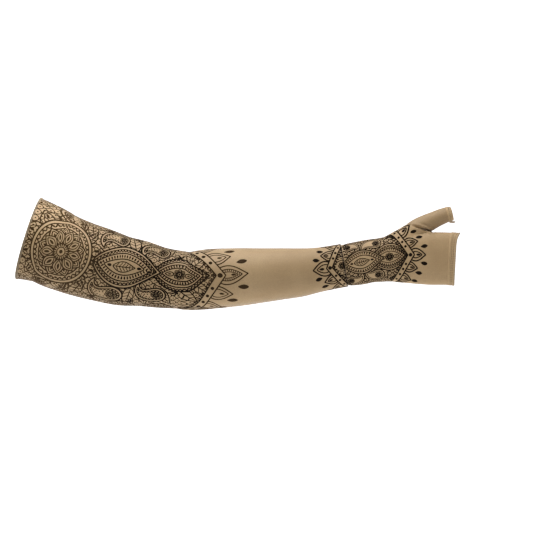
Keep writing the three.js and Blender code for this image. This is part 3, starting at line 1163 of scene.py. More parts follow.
@dataclass
class HandPart:
    """The hand part: one smooth skin over the palm and thumb, split at the thumb's seam."""

    voxel: float = 0.95
    smoothing: int = 14
    hem_tuck: float = 7.0
    thumb_tuck: float = 2.5
    crotch: tuple[float, float] = (583.0, 9.7)
    folds: tuple[Fold, ...] = (
        Fold((558.0, 17.8), (585.5, 9.2), 1.3, 3.4),
        Fold((572.0, 13.4), (586.5, 9.4), 1.5, 3.0),
        Fold((570.0, 21.0), (585.0, 14.0), 1.4, 0.9),
        Fold((548.0, 11.0), (574.0, 3.0), 4.5, 0.5),
        Fold((590.0, 5.0), (612.0, 3.0), 2.5, 0.25),
        Fold((528.0, -2.0), (546.0, 8.0), 4.0, 0.35),
        Fold((607.0, -62.0), (607.4, -70.0), 0.8, 1.1),
    )
    ball_start: tuple[float, float] = (530.0, 2.0)
    thumb_side: float = 520.0
    open_ends_past: float = 590.0
    crease_depth: float = 0.55
    crease_width: float = 1.1
    rib: float = 3.1
    rib_depth: float = 0.17
    ribbed: float = 14.0
    hand_girth: float = 180.0
    stall_girth: float = 80.0
    skin: Optional[bpy.types.Object] = None

    def _core(self, limb: Limb, name: str, past: float, count: int, steps: int) -> bpy.types.Object:
        """Builds a closed solid of a limb that runs past both its ends.

        Args:
            limb: the limb.
            name: the solid's name.
            past: how far it runs past each end.
            count: how many points each ring has.
            steps: how many rings it has between its ends.

        Returns:
            The solid.
        """
        at = np.linspace(0, limb.length, steps)
        share = np.arange(count) / count * 2 - 1
        rings = limb.skin(at[:, None], share[None, :])
        first = rings[:1] - limb.tangents[0] * past
        last = rings[-1:] + limb.tangents[-1] * past
        rings = np.concatenate([first, rings, last])
        faces = ring_faces(len(rings), count, False)
        faces.append(list(range(count)))
        faces.append(list(range((len(rings) - 1) * count, len(rings) * count))[::-1])
        return new_object(name, rings, faces)

    def make_skin(self) -> None:
        """Joins palm and thumb, remeshes the two as one skin and smooths it."""
        palm = self._core(PALM, "palm_core", 8, 120, 150)
        thumb = self._core(THUMB, "thumb_core", 6, 72, 90)
        bm = bmesh.new()
        for core in (palm, thumb):
            bm.from_mesh(core.data)
        joined = bpy.data.meshes.new("hand_cores")
        bm.to_mesh(joined)
        bm.free()
        for core in (palm, thumb):
            bpy.data.objects.remove(core)
        self.skin = bpy.data.objects.new("hand_skin", joined)
        bpy.context.scene.collection.objects.link(self.skin)
        remesh = self.skin.modifiers.new("remesh", "REMESH")
        remesh.mode = "VOXEL"
        remesh.voxel_size = self.voxel * MM
        smooth = self.skin.modifiers.new("smooth", "SMOOTH")
        smooth.factor = 0.6
        smooth.iterations = self.smoothing
        apply_modifiers(self.skin)

    @staticmethod
    def _seam() -> tuple[Points, Points]:
        """Gives the middle of the thumb's seam, and the direction that its plane faces."""
        middle = THUMB.read(np.array([SEAM_AT * THUMB.length]), THUMB.centres)[0]
        return middle, np.array([math.cos(SEAM_TILT), 0, math.sin(SEAM_TILT)])

    def _seam_depth(self, points: Points) -> Points:
        """Tells how far above the thumb's seam points lie.

        Args:
            points: the points.

        Returns:
            The distances.
        """
        middle, slant = self._seam()
        return np.minimum((points - middle) @ slant, points[:, 2] - self.crotch[1])

    def shape_folds(self) -> None:
        """Presses the folds and the seam's crease into the skin, and ribs it before the finger hem."""
        mesh = self.skin.data
        points = vertex_vectors(mesh, "co") / MM
        normals = vertex_vectors(mesh, "normal")
        flat = points[:, [0, 2]]
        sunk = np.zeros(len(points))
        for fold in self.folds:
            start, end = np.array(fold.start), np.array(fold.end)
            run = end - start
            share = np.clip(((flat - start) @ run) / (run @ run), 0, 1)
            away = np.linalg.norm(flat - start - share[:, None] * run, axis=1)
            ends = np.sin(np.clip(share, 0.02, 0.98) * math.pi) ** 0.5
            near = np.clip(-normals[:, 1] * 1.6 + 0.2, 0, 1)
            groove = np.exp(-(away / fold.width) ** 2)
            lips = np.exp(-((away - 2.4 * fold.width) / fold.width) ** 2)
            sunk += fold.depth * (groove - 0.45 * lips) * ends * near
        seam = self._seam_depth(points)
        on_thumb = (points[:, 2] > self.ball_start[1]) & (points[:, 0] > self.ball_start[0])
        sunk += np.where(on_thumb, self.crease_depth * np.exp(-(seam / self.crease_width) ** 2), 0)
        hem_start = PALM.centres[-1][0] - FINGER_HEM_WIDTH
        before = hem_start + 1.2 * np.cos(points[:, 2] / 9) - points[:, 0]
        window = np.sin(np.clip(before / self.ribbed, 0, 1) * math.pi) ** 0.7
        ribs = np.cos(before / self.rib * TURN)
        sunk += self.rib_depth * window * ribs * (points[:, 2] < self.crotch[1])
        points -= normals * sunk[:, None]
        mesh.vertices.foreach_set("co", (points * MM).ravel())
        mesh.update()

    @staticmethod
    def _cut(bm: bmesh.types.BMesh, point: Sequence[float], normal: Sequence[float], clear: bool,
             geometry: Optional[list[object]] = None) -> None:
        """Cuts the skin with a plane.

        Args:
            bm: the skin.
            point: a point of the plane.
            normal: the direction that the plane faces.
            clear: whether what lies past it is cleared.
            geometry: the vertices, edges and faces to cut, if not all.
        """
        if geometry is None:
            geometry = bm.verts[:] + bm.edges[:] + bm.faces[:]
        bmesh.ops.bisect_plane(bm, geom=geometry, dist=1e-6, plane_co=Vector(point) * MM,
                               plane_no=Vector(normal), clear_outer=clear)

    def pieces(self) -> tuple[bpy.types.Object, bpy.types.Object]:
        """Cuts the skin open at its ends and splits it at the thumb's seam.

        Returns:
            The hand part and the thumb's stall, still without a wall.
        """
        bm = bmesh.new()
        bm.from_mesh(self.skin.data)
        self._cut(bm, PALM.centres[0] + PALM.tangents[0] * 0.6, -PALM.tangents[0], True)
        finger = PALM.centres[-1] - PALM.tangents[-1] * (FINGER_HEM_WIDTH - self.hem_tuck)
        self._cut_end(bm, finger, PALM.tangents[-1], below=self.crotch[1] + 0.8)
        tip = THUMB.centres[-1] - THUMB.tangents[-1] * (THUMB_HEM_WIDTH - self.thumb_tuck)
        self._cut_end(bm, tip, THUMB.tangents[-1], above=self.crotch[1] + 0.8)
        self._cut(bm, *self._seam(), False)
        self._cut(bm, (0, 0, self.crotch[1]), (0, 0, 1), False)
        made = []
        for name, above in (("hand_part_knit", False), ("thumb_stall_knit", True)):
            part = bm.copy()
            centres = np.array([f.calc_center_median() for f in part.faces]) / MM
            keep = (self._seam_depth(centres) > 0) & (centres[:, 0] > self.thumb_side)
            drop = [f for f, kept in zip(part.faces, keep) if kept != above]
            bmesh.ops.delete(part, geom=drop, context="FACES")
            mesh = bpy.data.meshes.new(name)
            part.to_mesh(mesh)
            part.free()
            made.append(place_mesh(name, mesh))
        bm.free()
        return made[0], made[1]

    def _cut_end(self, bm: bmesh.types.BMesh, point: Points, normal: Points,
                 above: Optional[float] = None, below: Optional[float] = None) -> None:
        """Opens one end of the skin without touching the other end's faces.

        Args:
            bm: the skin.
            point: a point of the cutting plane.
            normal: the direction that the plane faces.
            above: the height above which faces are cut, if any.
            below: the height below which faces are cut, if any.
        """
        faces = [f for f in bm.faces
                 if (above is None or f.calc_center_median().z / MM > above)
                 and (below is None or f.calc_center_median().z / MM < below)
                 and f.calc_center_median().x / MM > self.open_ends_past]
        edges = list({e for f in faces for e in f.edges})
        verts = list({v for f in faces for v in f.verts})
        self._cut(bm, point, normal, True, verts + edges + faces)

    @staticmethod
    def thicken(piece: bpy.types.Object) -> None:
        """Gives a piece of the skin its wall, inwards.

        Args:
            piece: the piece.
        """
        solid = piece.modifiers.new("wall", "SOLIDIFY")
        solid.thickness = WALL * MM
        solid.offset = -1
        apply_modifiers(piece)

    @staticmethod
    def lay_weave(piece: bpy.types.Object, limb: Limb, girth: float) -> None:
        """Stores the knit's coordinates: along the limb by X, and round its centre line.

        Args:
            piece: the piece of cloth.
            limb: the limb that it covers.
            girth: the cloth's flat girth.
        """
        points = vertex_vectors(piece.data, "co") / MM
        along = np.interp(points[:, 0], limb.centres[:, 0], limb.travel)
        centre = limb.read(along, limb.centres)
        around = np.arctan2(points[:, 2] - centre[:, 2], -(points[:, 1] - centre[:, 1]))
        weave_coordinates(piece, along, (around / TURN + 0.5) * girth, girth)

    def build(self) -> None:
        """Builds, thickens and dresses the hand part and the thumb's stall, and keeps their skin."""
        self.make_skin()
        self.shape_folds()
        hand, stall = self.pieces()
        for piece, limb, girth in ((hand, PALM, self.hand_girth), (stall, THUMB, self.stall_girth)):
            self.thicken(piece)
            self.lay_weave(piece, limb, girth)
        dress(hand, HAND_KNIT.material(), "hand_knit", "hand_part")
        # The stall's darker knit is painted shade for the thumb's underside.
        dress(stall, SHADED_STALL_KNIT.material(), "hand_knit", "thumb_stall")


class Mark(Enum):
    """How one ring of a nested motif is drawn."""

    LINE = "line"
    SCALLOPS = "scallops"
    RAYS = "rays"
    DOTS = "dots"
    DROPS = "drops"


@dataclass(frozen=True)
class Ring:
    """One ring of a nested motif: how far inside the outline it lies, its mark and the mark's sizes."""

    inset: float
    mark: Mark = Mark.LINE
    width: float = 1.5
    pitch: float = 4.0
    size: float = 2.0


Shape = Callable[[float], Points]
SHAPE_STEPS = 400
OUTLINE_STEPS = 44
POINTED = 0.02


def path_run(path: Points) -> Points:
    """Gives how far along a path each of its points lies."""
    return np.concatenate([[0], np.cumsum(np.abs(np.diff(path)))])


def along_path(at: Points, run: Points, path: Points) -> Points:
    """Gives a path's places at distances along it, from its points' own distances."""
    return np.interp(at, run, path.real) + 1j * np.interp(at, run, path.imag)


def between(middle: Points, half: Points, heading: Points, inset: float, back: float = 0.0) -> Points:
    """Closes an outline round a middle line, drawn in by an inset.

    Args:
        middle: the middle line's points, evenly placed.
        half: how far the outline lies to each side of them.
        heading: the middle line's directions.
        inset: how far the outline is drawn in.
        back: the radius of a round end at the middle line's start, or 0 for a pointed one.

    Returns:
        The closed outline.
    """
    kept = np.flatnonzero(half > inset + 0.05)
    if len(kept) < 2:
        kept = np.array([len(half) // 3, len(half) // 3 + 1])
    order = np.arange(len(half))
    place = np.linspace(kept[0], kept[-1], OUTLINE_STEPS)
    line = along_path(place, order, middle)
    ahead = along_path(place, order, heading)
    reach = np.maximum(np.interp(place, order, half) - inset, POINTED)
    reach[-1] = POINTED
    if not back:
        reach[0] = POINTED
    near = line + 1j * ahead * reach
    far = line - 1j * ahead * reach
    round_end = np.array([], dtype=complex)
    if back:
        turn = np.linspace(0.5, 1.5, 18)[1:-1] * math.pi
        round_end = line[0] + max(0.1, back - inset) * np.exp(1j * turn)
    return np.concatenate([near[::-1], round_end, far[1:]])


def leaf_shape(length: float, width: float, belly: float = 0.5, base: float = 1.0, tip: float = 1.0) -> Shape:
    """Gives a leaf that can be drawn in, from its base at 0 along the first axis.

    Args:
        length: from base to tip.
        width: its greatest width.
        belly: where along the leaf its greatest width lies, as a share.
        base: how drawn-out its base is: 1 is plain, less is rounder.
        tip: how drawn-out its tip is.

    Returns:
        A function of the inset that gives the closed outline.
    """
    share = np.linspace(0, 1, SHAPE_STEPS)
    bend = math.log(0.5) / math.log(belly)
    power = base + (tip - base) * share
    half = width / 2 * np.sin(math.pi * share ** bend) ** power
    return lambda inset: between(share * length + 0j, half, np.ones(SHAPE_STEPS, dtype=complex), inset)


def round_shape(radius: float) -> Shape:
    """Gives a circle round 0 that can be drawn in.

    Args:
        radius: its radius.

    Returns:
        A function of the inset that gives the closed outline.
    """
    count = max(18, int(radius * 2.4))
    turn = np.exp(2j * math.pi * np.arange(count) / count)
    return lambda inset: max(0.1, radius - inset) * turn


def horn_shape(length: float, radius: float, curl: float) -> Shape:
    """Gives a paisley that can be drawn in: a round end at 0 that tapers to a curled tip.

    Args:
        length: the length of its middle line.
        radius: the radius of its round end.
        curl: how far its tip turns, in radians.

    Returns:
        A function of the inset that gives the closed outline.
    """
    share = np.linspace(0, 1, SHAPE_STEPS)
    heading = np.exp(1j * curl * share ** 1.6)
    middle = np.cumsum(heading) * length / SHAPE_STEPS
    half = radius * (1 - share) ** 0.85 * (1 + 0.25 * np.sin(math.pi * share))
    return lambda inset: between(middle, half, heading, inset, radius)


def even_places(path: Points, pitch: float, closed: bool = True) -> tuple[Points, Points]:
    """Finds even places on a path.

    Args:
        path: the path.
        pitch: about how far apart the places lie.
        closed: whether the path returns to its start.

    Returns:
        The places and the path's directions there.
    """
    if closed:
        path = np.append(path, path[0])
    run = path_run(path)
    count = max(4, round(run[-1] / pitch))
    at = np.arange(count) / count * run[-1] if closed else np.linspace(0, run[-1], count + 1)
    step = 0.3
    ahead = along_path(np.minimum(at + step, run[-1]), run, path)
    ahead -= along_path(np.maximum(at - step, 0), run, path)
    return along_path(at, run, path), ahead / np.abs(ahead)


def inside(outline: Points, points: Points) -> Points:
    """Tells which points lie inside a closed outline.

    Args:
        outline: the outline.
        points: the points.

    Returns:
        A truth value for each point.
    """
    x, y = points.real, points.imag
    hit = np.zeros(len(points), dtype=bool)
    near = (x < outline.real.max()) & (y > outline.imag.min()) & (y < outline.imag.max())
    x, y = x[near], y[near]
    found = np.zeros(len(x), dtype=bool)
    for a, b in zip(outline, np.roll(outline, -1)):
        crosses = (a.imag > y) != (b.imag > y)
        found ^= crosses & (x < a.real + (y - a.imag) * (b.real - a.real) / ((b.imag - a.imag) or 1e-9))
    hit[near] = found
    return hit


class Drawing:
    """Ink on flat cloth, drawn from back to front: strokes of points and widths in millimetres."""

    FINE = 0.45

    def __init__(self) -> None:
        """Starts an empty drawing."""
        self.strokes: list[tuple[Points, Points]] = []
        self.outline: Optional[Points] = None

    def line(self, path: Points, width: float = 1.5, closed: bool = False, taper: float = 0.0) -> None:
        """Draws a line.

        Args:
            path: its points.
            width: its width.
            closed: whether it returns to its start.
            taper: how much its ends thin out, from 0 to 1.
        """
        path = np.asarray(path, dtype=complex)
        if closed:
            path = np.append(path, path[0])
        run = path_run(path)
        count = max(5, int(run[-1] / self.FINE) + 2)
        points = along_path(np.linspace(0, run[-1], count), run, path)
        share = np.linspace(0, 1, count)
        self.strokes.append((points, width * (1 - taper + taper * np.sin(math.pi * share) ** 0.7)))

    def blot(self, at: complex, length: float, width: float, turn: float = 0.0, belly: float = 0.5) -> None:
        """Draws a filled dot, or a pointed drop where it is longer than wide.

        Args:
            at: its middle.
            length: its length.
            width: its width.
            turn: how far it is turned, in radians.
            belly: where along it its greatest width lies, as a share.
        """
        count = 14 if length > 8.5 else 9 if length > 3 else 6
        share = np.linspace(0, 1, count)
        bend = math.log(0.5) / math.log(belly)
        half = np.sin(math.pi * np.clip(share ** bend, 0.02, 0.98)) ** (0.5 if length < width * 1.3 else 0.62)
        self.strokes.append((at + (share - 0.5) * length * np.exp(1j * turn), width * half))

    def cover(self, outline: Points) -> None:
        """Takes out what lies inside an outline."""
        self._keep(lambda points: ~inside(outline, points))

    def crop(self, outline: Points) -> None:
        """Takes out what lies outside an outline."""
        self._keep(lambda points: inside(outline, points))

    def _keep(self, test: Callable[[Points], Points]) -> None:
        """Keeps the parts of the strokes that pass a test.

        Args:
            test: tells of points which ones are kept.
        """
        if not self.strokes:
            return
        sizes = [len(p) for p, _ in self.strokes]
        passed = np.split(test(np.concatenate([p for p, _ in self.strokes])), np.cumsum(sizes)[:-1])
        kept = []
        for (points, widths), good in zip(self.strokes, passed):
            if good.all():
                kept.append((points, widths))
            elif good.any():
                edges = np.flatnonzero(np.diff(np.concatenate([[0], good.astype(int), [0]])))
                kept += [(points[a:b], widths[a:b]) for a, b in zip(edges[::2], edges[1::2]) if b - a > 2]
        self.strokes = kept

    def place(self, motif: "Drawing", at: complex, turn: float = 0.0, mirror: bool = False) -> None:
        """Lays a motif over the drawing.

        Args:
            motif: the motif, whose outline hides what is behind it.
            at: where its 0 comes.
            turn: how far it is turned, in degrees.
            mirror: whether it is mirrored before it is turned.
        """
        spin = np.exp(1j * math.radians(turn))
        move = lambda points: (np.conj(points) if mirror else points) * spin + at
        if motif.outline is not None:
            self.cover(move(motif.outline))
        self.strokes += [(move(points), widths) for points, widths in motif.strokes]

    def pair(self, motif: "Drawing", at: complex, turn: float = 0.0) -> None:
        """Lays a motif and its mirror image on both sides of the middle line."""
        self.place(motif, at, turn)
        self.place(motif, at.conjugate(), -turn, True)

    def row(self, path: Points, ring: Ring, closed: bool = True) -> None:
        """Draws one ring of marks along a path.

        Args:
            path: the path.
            ring: the marks and their sizes.
            closed: whether the path returns to its start.
        """
        if ring.mark is Mark.LINE:
            self.line(path, ring.width, closed)
            return
        places, ahead = even_places(path, ring.pitch, closed)
        side = ahead * 1j
        if ring.mark is Mark.DOTS:
            for place in places:
                self.blot(place, ring.size, ring.size)
        elif ring.mark is Mark.DROPS:
            for place, out in zip(places, side):
                self.blot(place + out * ring.size / 2, abs(ring.size), ring.width, float(np.angle(out)), 0.4)
        elif ring.mark is Mark.RAYS:
            for place, out in zip(places, side):
                self.line([place, place + out * ring.size], ring.width, taper=0.3)
        else:
            arch = np.sin(np.linspace(0, math.pi, 7)) ** 0.8
            step = np.linspace(0, 1, 7)
            after = np.roll(places, -1) if closed else places[1:]
            for place, then, out in zip(places, after, side):
                self.line(place + (then - place) * step + out * ring.size * arch, ring.width)

    def nest(self, shape: Shape, rings: Sequence[Ring]) -> "Drawing":
        """Draws rings inside each other and takes the shape as the drawing's outline.

        Args:
            shape: the shape that is drawn in.
            rings: the rings, from the outer one.

        Returns:
            The drawing itself.
        """
        for ring in rings:
            self.row(shape(ring.inset), ring)
        self.outline = shape(0)
        return self

    def moved(self, step: complex) -> "Drawing":
        """Moves the whole drawing.

        Args:
            step: how far, as a complex number.

        Returns:
            The drawing itself.
        """
        self.strokes = [(points + step, widths) for points, widths in self.strokes]
        if self.outline is not None:
            self.outline = self.outline + step
        return self


def almond_motif(length: float, width: float, rings: Sequence[Ring], heart: Drawing) -> Drawing:
    """Draws an almond of nested rings round a smaller motif, its wide part at 0 and its point ahead.

    Args:
        length: from base to tip.
        width: its greatest width.
        rings: its rings, from the outer one.
        heart: the smaller motif.

    Returns:
        The drawing.
    """
    made = Drawing().nest(leaf_shape(length, width, 0.46, 0.8, 1.2), rings).moved(-length * 0.46)
    outline = made.outline
    made.place(heart, 0)
    made.outline = outline
    return made


def bud_heart(length: float, width: float, line: float) -> Drawing:
    """Draws a veined leaf between two dark drops, its middle at 0.

    Args:
        length: the leaf's length.
        width: the leaf's width.
        line: the width of its lines.

    Returns:
        The drawing.
    """
    made = Drawing()
    made.place(feather_motif(length, width, length / 7, line), -length / 2)
    for side in (1, -1):
        made.blot(side * length * 0.66, length * 0.2, width * 0.28, 0.0 if side > 0 else math.pi, 0.4)
    return made


def blossom_heart(radius: float, line: float) -> Drawing:
    """Draws a flower between two leaves and two drops, its middle at 0.

    Args:
        radius: the flower's radius.
        line: the width of the leaves' lines.

    Returns:
        The drawing.
    """
    made = Drawing()
    for side in (1, -1):
        made.line(leaf_shape(radius * 1.5, radius * 0.8, 0.4)(0) * side + side * radius * 0.9, line, True)
        made.blot(side * radius * 1.6, radius * 0.6, radius * 0.26, 0.0, 0.5)
    made.place(flower_motif(radius, 8), 0)
    return made


def petal_motif(length: float, width: float, inset: float, line: float) -> Drawing:
    """Draws a pointed petal with a smaller one inside it and a drop at its heart, its base at 0.

    Args:
        length: from base to tip.
        width: its greatest width.
        inset: how far inside it the smaller one lies.
        line: the width of its outline.

    Returns:
        The drawing.
    """
    shape = leaf_shape(length, width, 0.4, 0.7, 1.12)
    made = Drawing().nest(shape, (Ring(0, width=line), Ring(inset, width=line * 0.8)))
    room = width - 2 * inset
    if room > 15:
        made.row(shape(inset + 0.8), Ring(0, Mark.RAYS, line * 0.7, 3.2, 2.4))
        made.line(shape(inset + 4.4), line * 0.7, True)
        room -= 8.8
    heart = min(3.6, max(1.5, room * 0.36))
    made.blot(length * 0.57, heart * 2.0, heart, 0.0, 0.42)
    return made


def feather_motif(length: float, width: float, pitch: float = 6.4, line: float = 1.5) -> Drawing:
    """Draws a long leaf with a midrib and slanting veins, its base at 0.

    Args:
        length: from base to tip.
        width: its greatest width.
        pitch: the distance between veins.
        line: the width of its lines.

    Returns:
        The drawing.
    """
    shape = leaf_shape(length, width, 0.45, 0.9, 1.15)
    made = Drawing().nest(shape, (Ring(0, width=line),))
    made.line([length * 0.04, length * 0.9], line, taper=0.5)
    veins = Drawing()
    for k in range(1, int(length / pitch)):
        for side in (1, -1):
            veins.line([k * pitch, k * pitch + width * 0.5 * (0.75 + side * 1j)], line * 0.8, taper=0.4)
    veins.crop(shape(1.0))
    made.strokes += veins.strokes
    return made


def flower_motif(radius: float, count: int) -> Drawing:
    """Draws a small round flower: a bead, a ring and a wreath of dark drops in round petals.

    Args:
        radius: its radius.
        count: how many petals it has.

    Returns:
        The drawing.
    """
    made = Drawing()
    wide = TURN * radius * 0.66 / count
    for k in range(count):
        spin = np.exp(2j * math.pi * k / count)
        made.line((leaf_shape(radius * 0.66, wide, 0.6, 0.8, 0.7)(0) + radius * 0.34) * spin, 1.2, True)
        made.blot(spin * radius * 0.66, radius * 0.34, wide * 0.34, TURN * k / count, 0.6)
    made.outline = round_shape(radius * 0.94)(0)
    made.line(round_shape(radius * 0.34)(0), 1.2, True)
    made.blot(0, radius * 0.34, radius * 0.34)
    return made


def mandala_motif(radius: float, petals: int) -> Drawing:
    """Draws a round mandala: pointed outer petals, arches, drops and a flower at its heart.

    Args:
        radius: its radius.
        petals: how many petals each wreath has.

    Returns:
        The drawing.
    """
    made = Drawing()
    wide = TURN * radius * 0.74 / petals
    outer = petal_motif(radius * 0.46, wide * 1.2, wide * 0.3, 1.2)
    for shift in (0.5, 0):
        for k in range(petals):
            turn = 360 / petals * (k + shift)
            made.place(outer, radius * (0.58 if shift else 0.54) * np.exp(1j * math.radians(turn)), turn)
    rim = round_shape(radius * 0.62)
    made.cover(rim(0))
    made.nest(rim, (Ring(0, width=1.4), Ring(0, Mark.SCALLOPS, 1.0, 4.9, 2.8), Ring(radius * 0.18, width=1.1),
                    Ring(radius * 0.24, Mark.DROPS, 1.4, 4.4, 2.8)))
    made.place(flower_motif(radius * 0.34, 8), 0)
    made.outline = round_shape(radius * 0.9)(0)
    return made


def paisley_motif(length: float, radius: float, curl: float) -> Drawing:
    """Draws a paisley: arches in its rim, beads along its tail and a flower in its round end.

    Args:
        length: the length of its middle line.
        radius: its round end's radius.
        curl: how far its tip turns, in radians.

    Returns:
        The drawing.
    """
    shape = horn_shape(length, radius, curl)
    made = Drawing().nest(shape, (
        Ring(0, width=2.1), Ring(3.6, width=1.5), Ring(3.8, Mark.SCALLOPS, 1.3, 4.6, 2.6),
        Ring(9.0, Mark.DOTS, size=2.1, pitch=4.4)))
    made.place(flower_motif(radius * 0.52, 7), 0)
    return made


def scroll_motif(reach: float, turns: float) -> Drawing:
    """Draws a curling tendril with a bud at its heart and leaves along its back.

    Args:
        reach: its size.
        turns: how many turns it makes.

    Returns:
        The drawing.
    """
    made = Drawing()
    share = np.linspace(0, 1, 50)
    heading = np.exp(1j * TURN * turns * share ** 1.7)
    path = np.cumsum(heading * (1 - 0.75 * share)) * reach / 30
    made.line(path, 1.9, taper=0.35)
    made.blot(path[-1], 3.0, 3.0)
    for k in (6, 13, 20, 27, 34, 40):
        out = -1j * heading[k]
        made.blot(path[k] + out * 3.0 + heading[k] * 1.4, 5.4, 2.3, float(np.angle(out + heading[k])), 0.4)
    return made


def scale_ground(box: tuple[float, float, float, float], pitch: float, row: float, seed: float,
                 width: float = 1.4) -> Drawing:
    """Covers a box with rows of scales, each with a seed.

    Args:
        box: its least and greatest place along, and least and greatest place round.
        pitch: the width of a scale.
        row: the distance between rows.
        seed: the length of a seed.
        width: the width of the lines.

    Returns:
        The drawing.
    """
    made = Drawing()
    turn = np.linspace(-math.pi / 2, math.pi / 2, 9)
    arc = row * 1.15 * np.cos(turn) + 0.5j * pitch * np.sin(turn)
    for index, along in enumerate(np.arange(box[0], box[1], row)):
        for across in np.arange(box[2] + (index % 2) * pitch / 2, box[3] + 0.1, pitch):
            made.line(along + 1j * across + arc, width)
            made.blot(along + 1j * across + row * 0.5, seed, seed * 0.8)
    return made


@dataclass(frozen=True)
class Border:
    """The pointed end of a print: a line, a band with dots, and petals and drops beyond it."""

    tip: float
    slope: float
    half: float
    band: float
    main: tuple[float, float]
    side: tuple[float, float]
    side_places: Sequence[float]
    drops: Sequence[tuple[float, float]]
    drop: tuple[float, float]
    dots: Sequence[float]
    dot: float
    inset: float
    lean: float = 18.0
    line: float = 1.95
    hidden: float = 0.34

    def edge(self, back: float) -> Points:
        """Gives the pointed edge from one side to the other, drawn back along the cloth.

        Args:
            back: how far it is drawn back.

        Returns:
            The edge's corners.
        """
        tip = self.tip - back
        return np.array([tip - self.slope * self.half - 1j * self.half, tip + 0j,
                         tip - self.slope * self.half + 1j * self.half])

    def draw(self, over: Drawing) -> None:
        """Draws the border over what is there, which it crops to its inner edge.

        Args:
            over: the drawing that the border ends.
        """
        far = np.array([-400 + 1j * self.half, -400 - 1j * self.half])
        inner = self.edge(self.band)
        over.crop(np.concatenate([inner, far]))
        over.line(inner, self.line * 0.9)
        over.row(self.edge(self.band + 0.6), Ring(0, Mark.DROPS, 2.2, 3.9, 4.2), False)
        outside = Drawing()
        for place in sorted(self.side_places, reverse=True):
            at = self.tip - self.slope * place + 1j * place - self.side[0] * self.hidden * (1 - 0.25j)
            lean = self.lean * min(1.0, place / self.half * 1.6) if place < self.half else 0.0
            outside.pair(petal_motif(*self.side, self.inset * 0.8, self.line), at, lean)
        outside.place(petal_motif(*self.main, self.inset, self.line), self.tip - self.main[0] * self.hidden)
        outside.cover(np.concatenate([self.edge(0), far]))
        drop = Drawing()
        drop.blot(0, *self.drop, 0.0, 0.55)
        for along, across in self.drops:
            outside.pair(drop, self.tip + along + 1j * across, 10)
        over.strokes += outside.strokes
        over.line(self.edge(0), self.line)
        for place in self.dots:
            at = self.tip - self.band * (0.5 if place else 0.6) - self.slope * place + 1j * place
            size = self.dot * (1.45 if place == 0 else 1.0)
            over.blot(at, size, size)
            if place:
                over.blot(at.conjugate(), size, size)


def arm_panel() -> Drawing:
    """Draws the sleeve's print for one half of the arm, its middle line along the first axis.

    Returns:
        The drawing.
    """
    made = scale_ground((-4, 296, -78, 78), 9.2, 7.0, 2.3, 1.15)
    feathers = ((112, 24, 74, 48), (96, 30, 112, 40), (132, 26, 60, 46), (178, 20, 78, 44),
                (164, 24, 104, 42), (196, 20, 56, 42), (226, 18, 46, 38), (246, 10, 40, 34))
    for along, across, turn, reach in feathers:
        made.pair(feather_motif(reach, 16), along + 1j * across, turn)
    for along, radius, petals in ((6, 24, 8), (96, 26, 9), (152, 21, 8), (204, 20, 8)):
        for side in (75j, -75j):
            made.place(mandala_motif(radius, petals), along + side)
    made.pair(paisley_motif(52, 15, -2.7), 44 + 58j, -10)
    made.pair(paisley_motif(46, 13.5, 2.6), 138 + 44j, 168)
    made.pair(paisley_motif(42, 12.5, 2.6), 200 + 38j, 162)
    for along, across, turn, reach in ((112, 52, 30, 14), (160, 50, 20, 13), (222, 26, 10, 12)):
        made.pair(scroll_motif(reach, 1.1), along + 1j * across, turn)
    wreath = Drawing()
    wide = petal_motif(23, 24, 5.6, 1.6)
    for k in range(12):
        turn = 30 * (k + 0.5)
        wreath.place(wide, 38 * np.exp(1j * math.radians(turn)), turn)
    made.place(wreath, 56 + 0j)
    rose = Drawing().nest(round_shape(44), (
        Ring(0, width=2.2), Ring(4.6, width=1.6), Ring(4.8, Mark.SCALLOPS, 1.6, 6.6, 4.2),
        Ring(7.4, Mark.DOTS, size=2.0, pitch=6.6), Ring(12.2, width=1.9)))
    inner = Drawing().nest(leaf_shape(22, 15, 0.5, 0.8, 1.2), (Ring(0, width=1.7), Ring(3.4, width=1.4)))
    inner.blot(11, 8, 3.2, 0.0, 0.45)
    for shift in (0.5, 0):
        for k in range(9):
            turn = 40 * (k + shift)
            rose.place(inner, (12.5 if shift else 8.5) * np.exp(1j * math.radians(turn)), turn)
    rose.place(Drawing().nest(round_shape(10.5), (
        Ring(0, width=1.7), Ring(0.4, Mark.DROPS, 2.0, 3.6, 3.2), Ring(4.6, width=1.5))), 0)
    rose.blot(0, 5, 5)
    rose.outline = round_shape(44)(0)
    made.place(rose, 56 + 0j)
    made.place(almond_motif(84, 56, (
        Ring(0, width=2.2), Ring(0.2, Mark.SCALLOPS, 1.6, 5.8, 3.6), Ring(6.8, width=1.8),
        Ring(11.2, width=1.6), Ring(11.4, Mark.RAYS, 1.8, 4.1, 4.4), Ring(17.2, width=1.7)),
        blossom_heart(8.6, 1.5)), 229 + 0j)
    made.place(almond_motif(100, 62, (
        Ring(0, width=2.3), Ring(4.4, width=1.6), Ring(4.6, Mark.SCALLOPS, 1.6, 5.4, 3.4),
        Ring(10.6, width=1.9), Ring(12.8, Mark.DROPS, 2.3, 4.3, 5.0), Ring(19.4, width=1.7)),
        bud_heart(33, 15, 1.5)), 149 + 0j)
    made.crop(np.array([1.2 - 75j, 330 - 75j, 330 + 75j, 1.2 + 75j]))
    Border(tip=297, slope=0.66, half=75, band=13.5, main=(49, 31), side=(38, 24), side_places=(24, 49, 75),
           drops=((24, 22), (7, 46), (-9, 67)), drop=(15.5, 8.2), dots=(0, 21, 34, 46, 57, 68), dot=5.3,
           inset=6.0).draw(made)
    return made


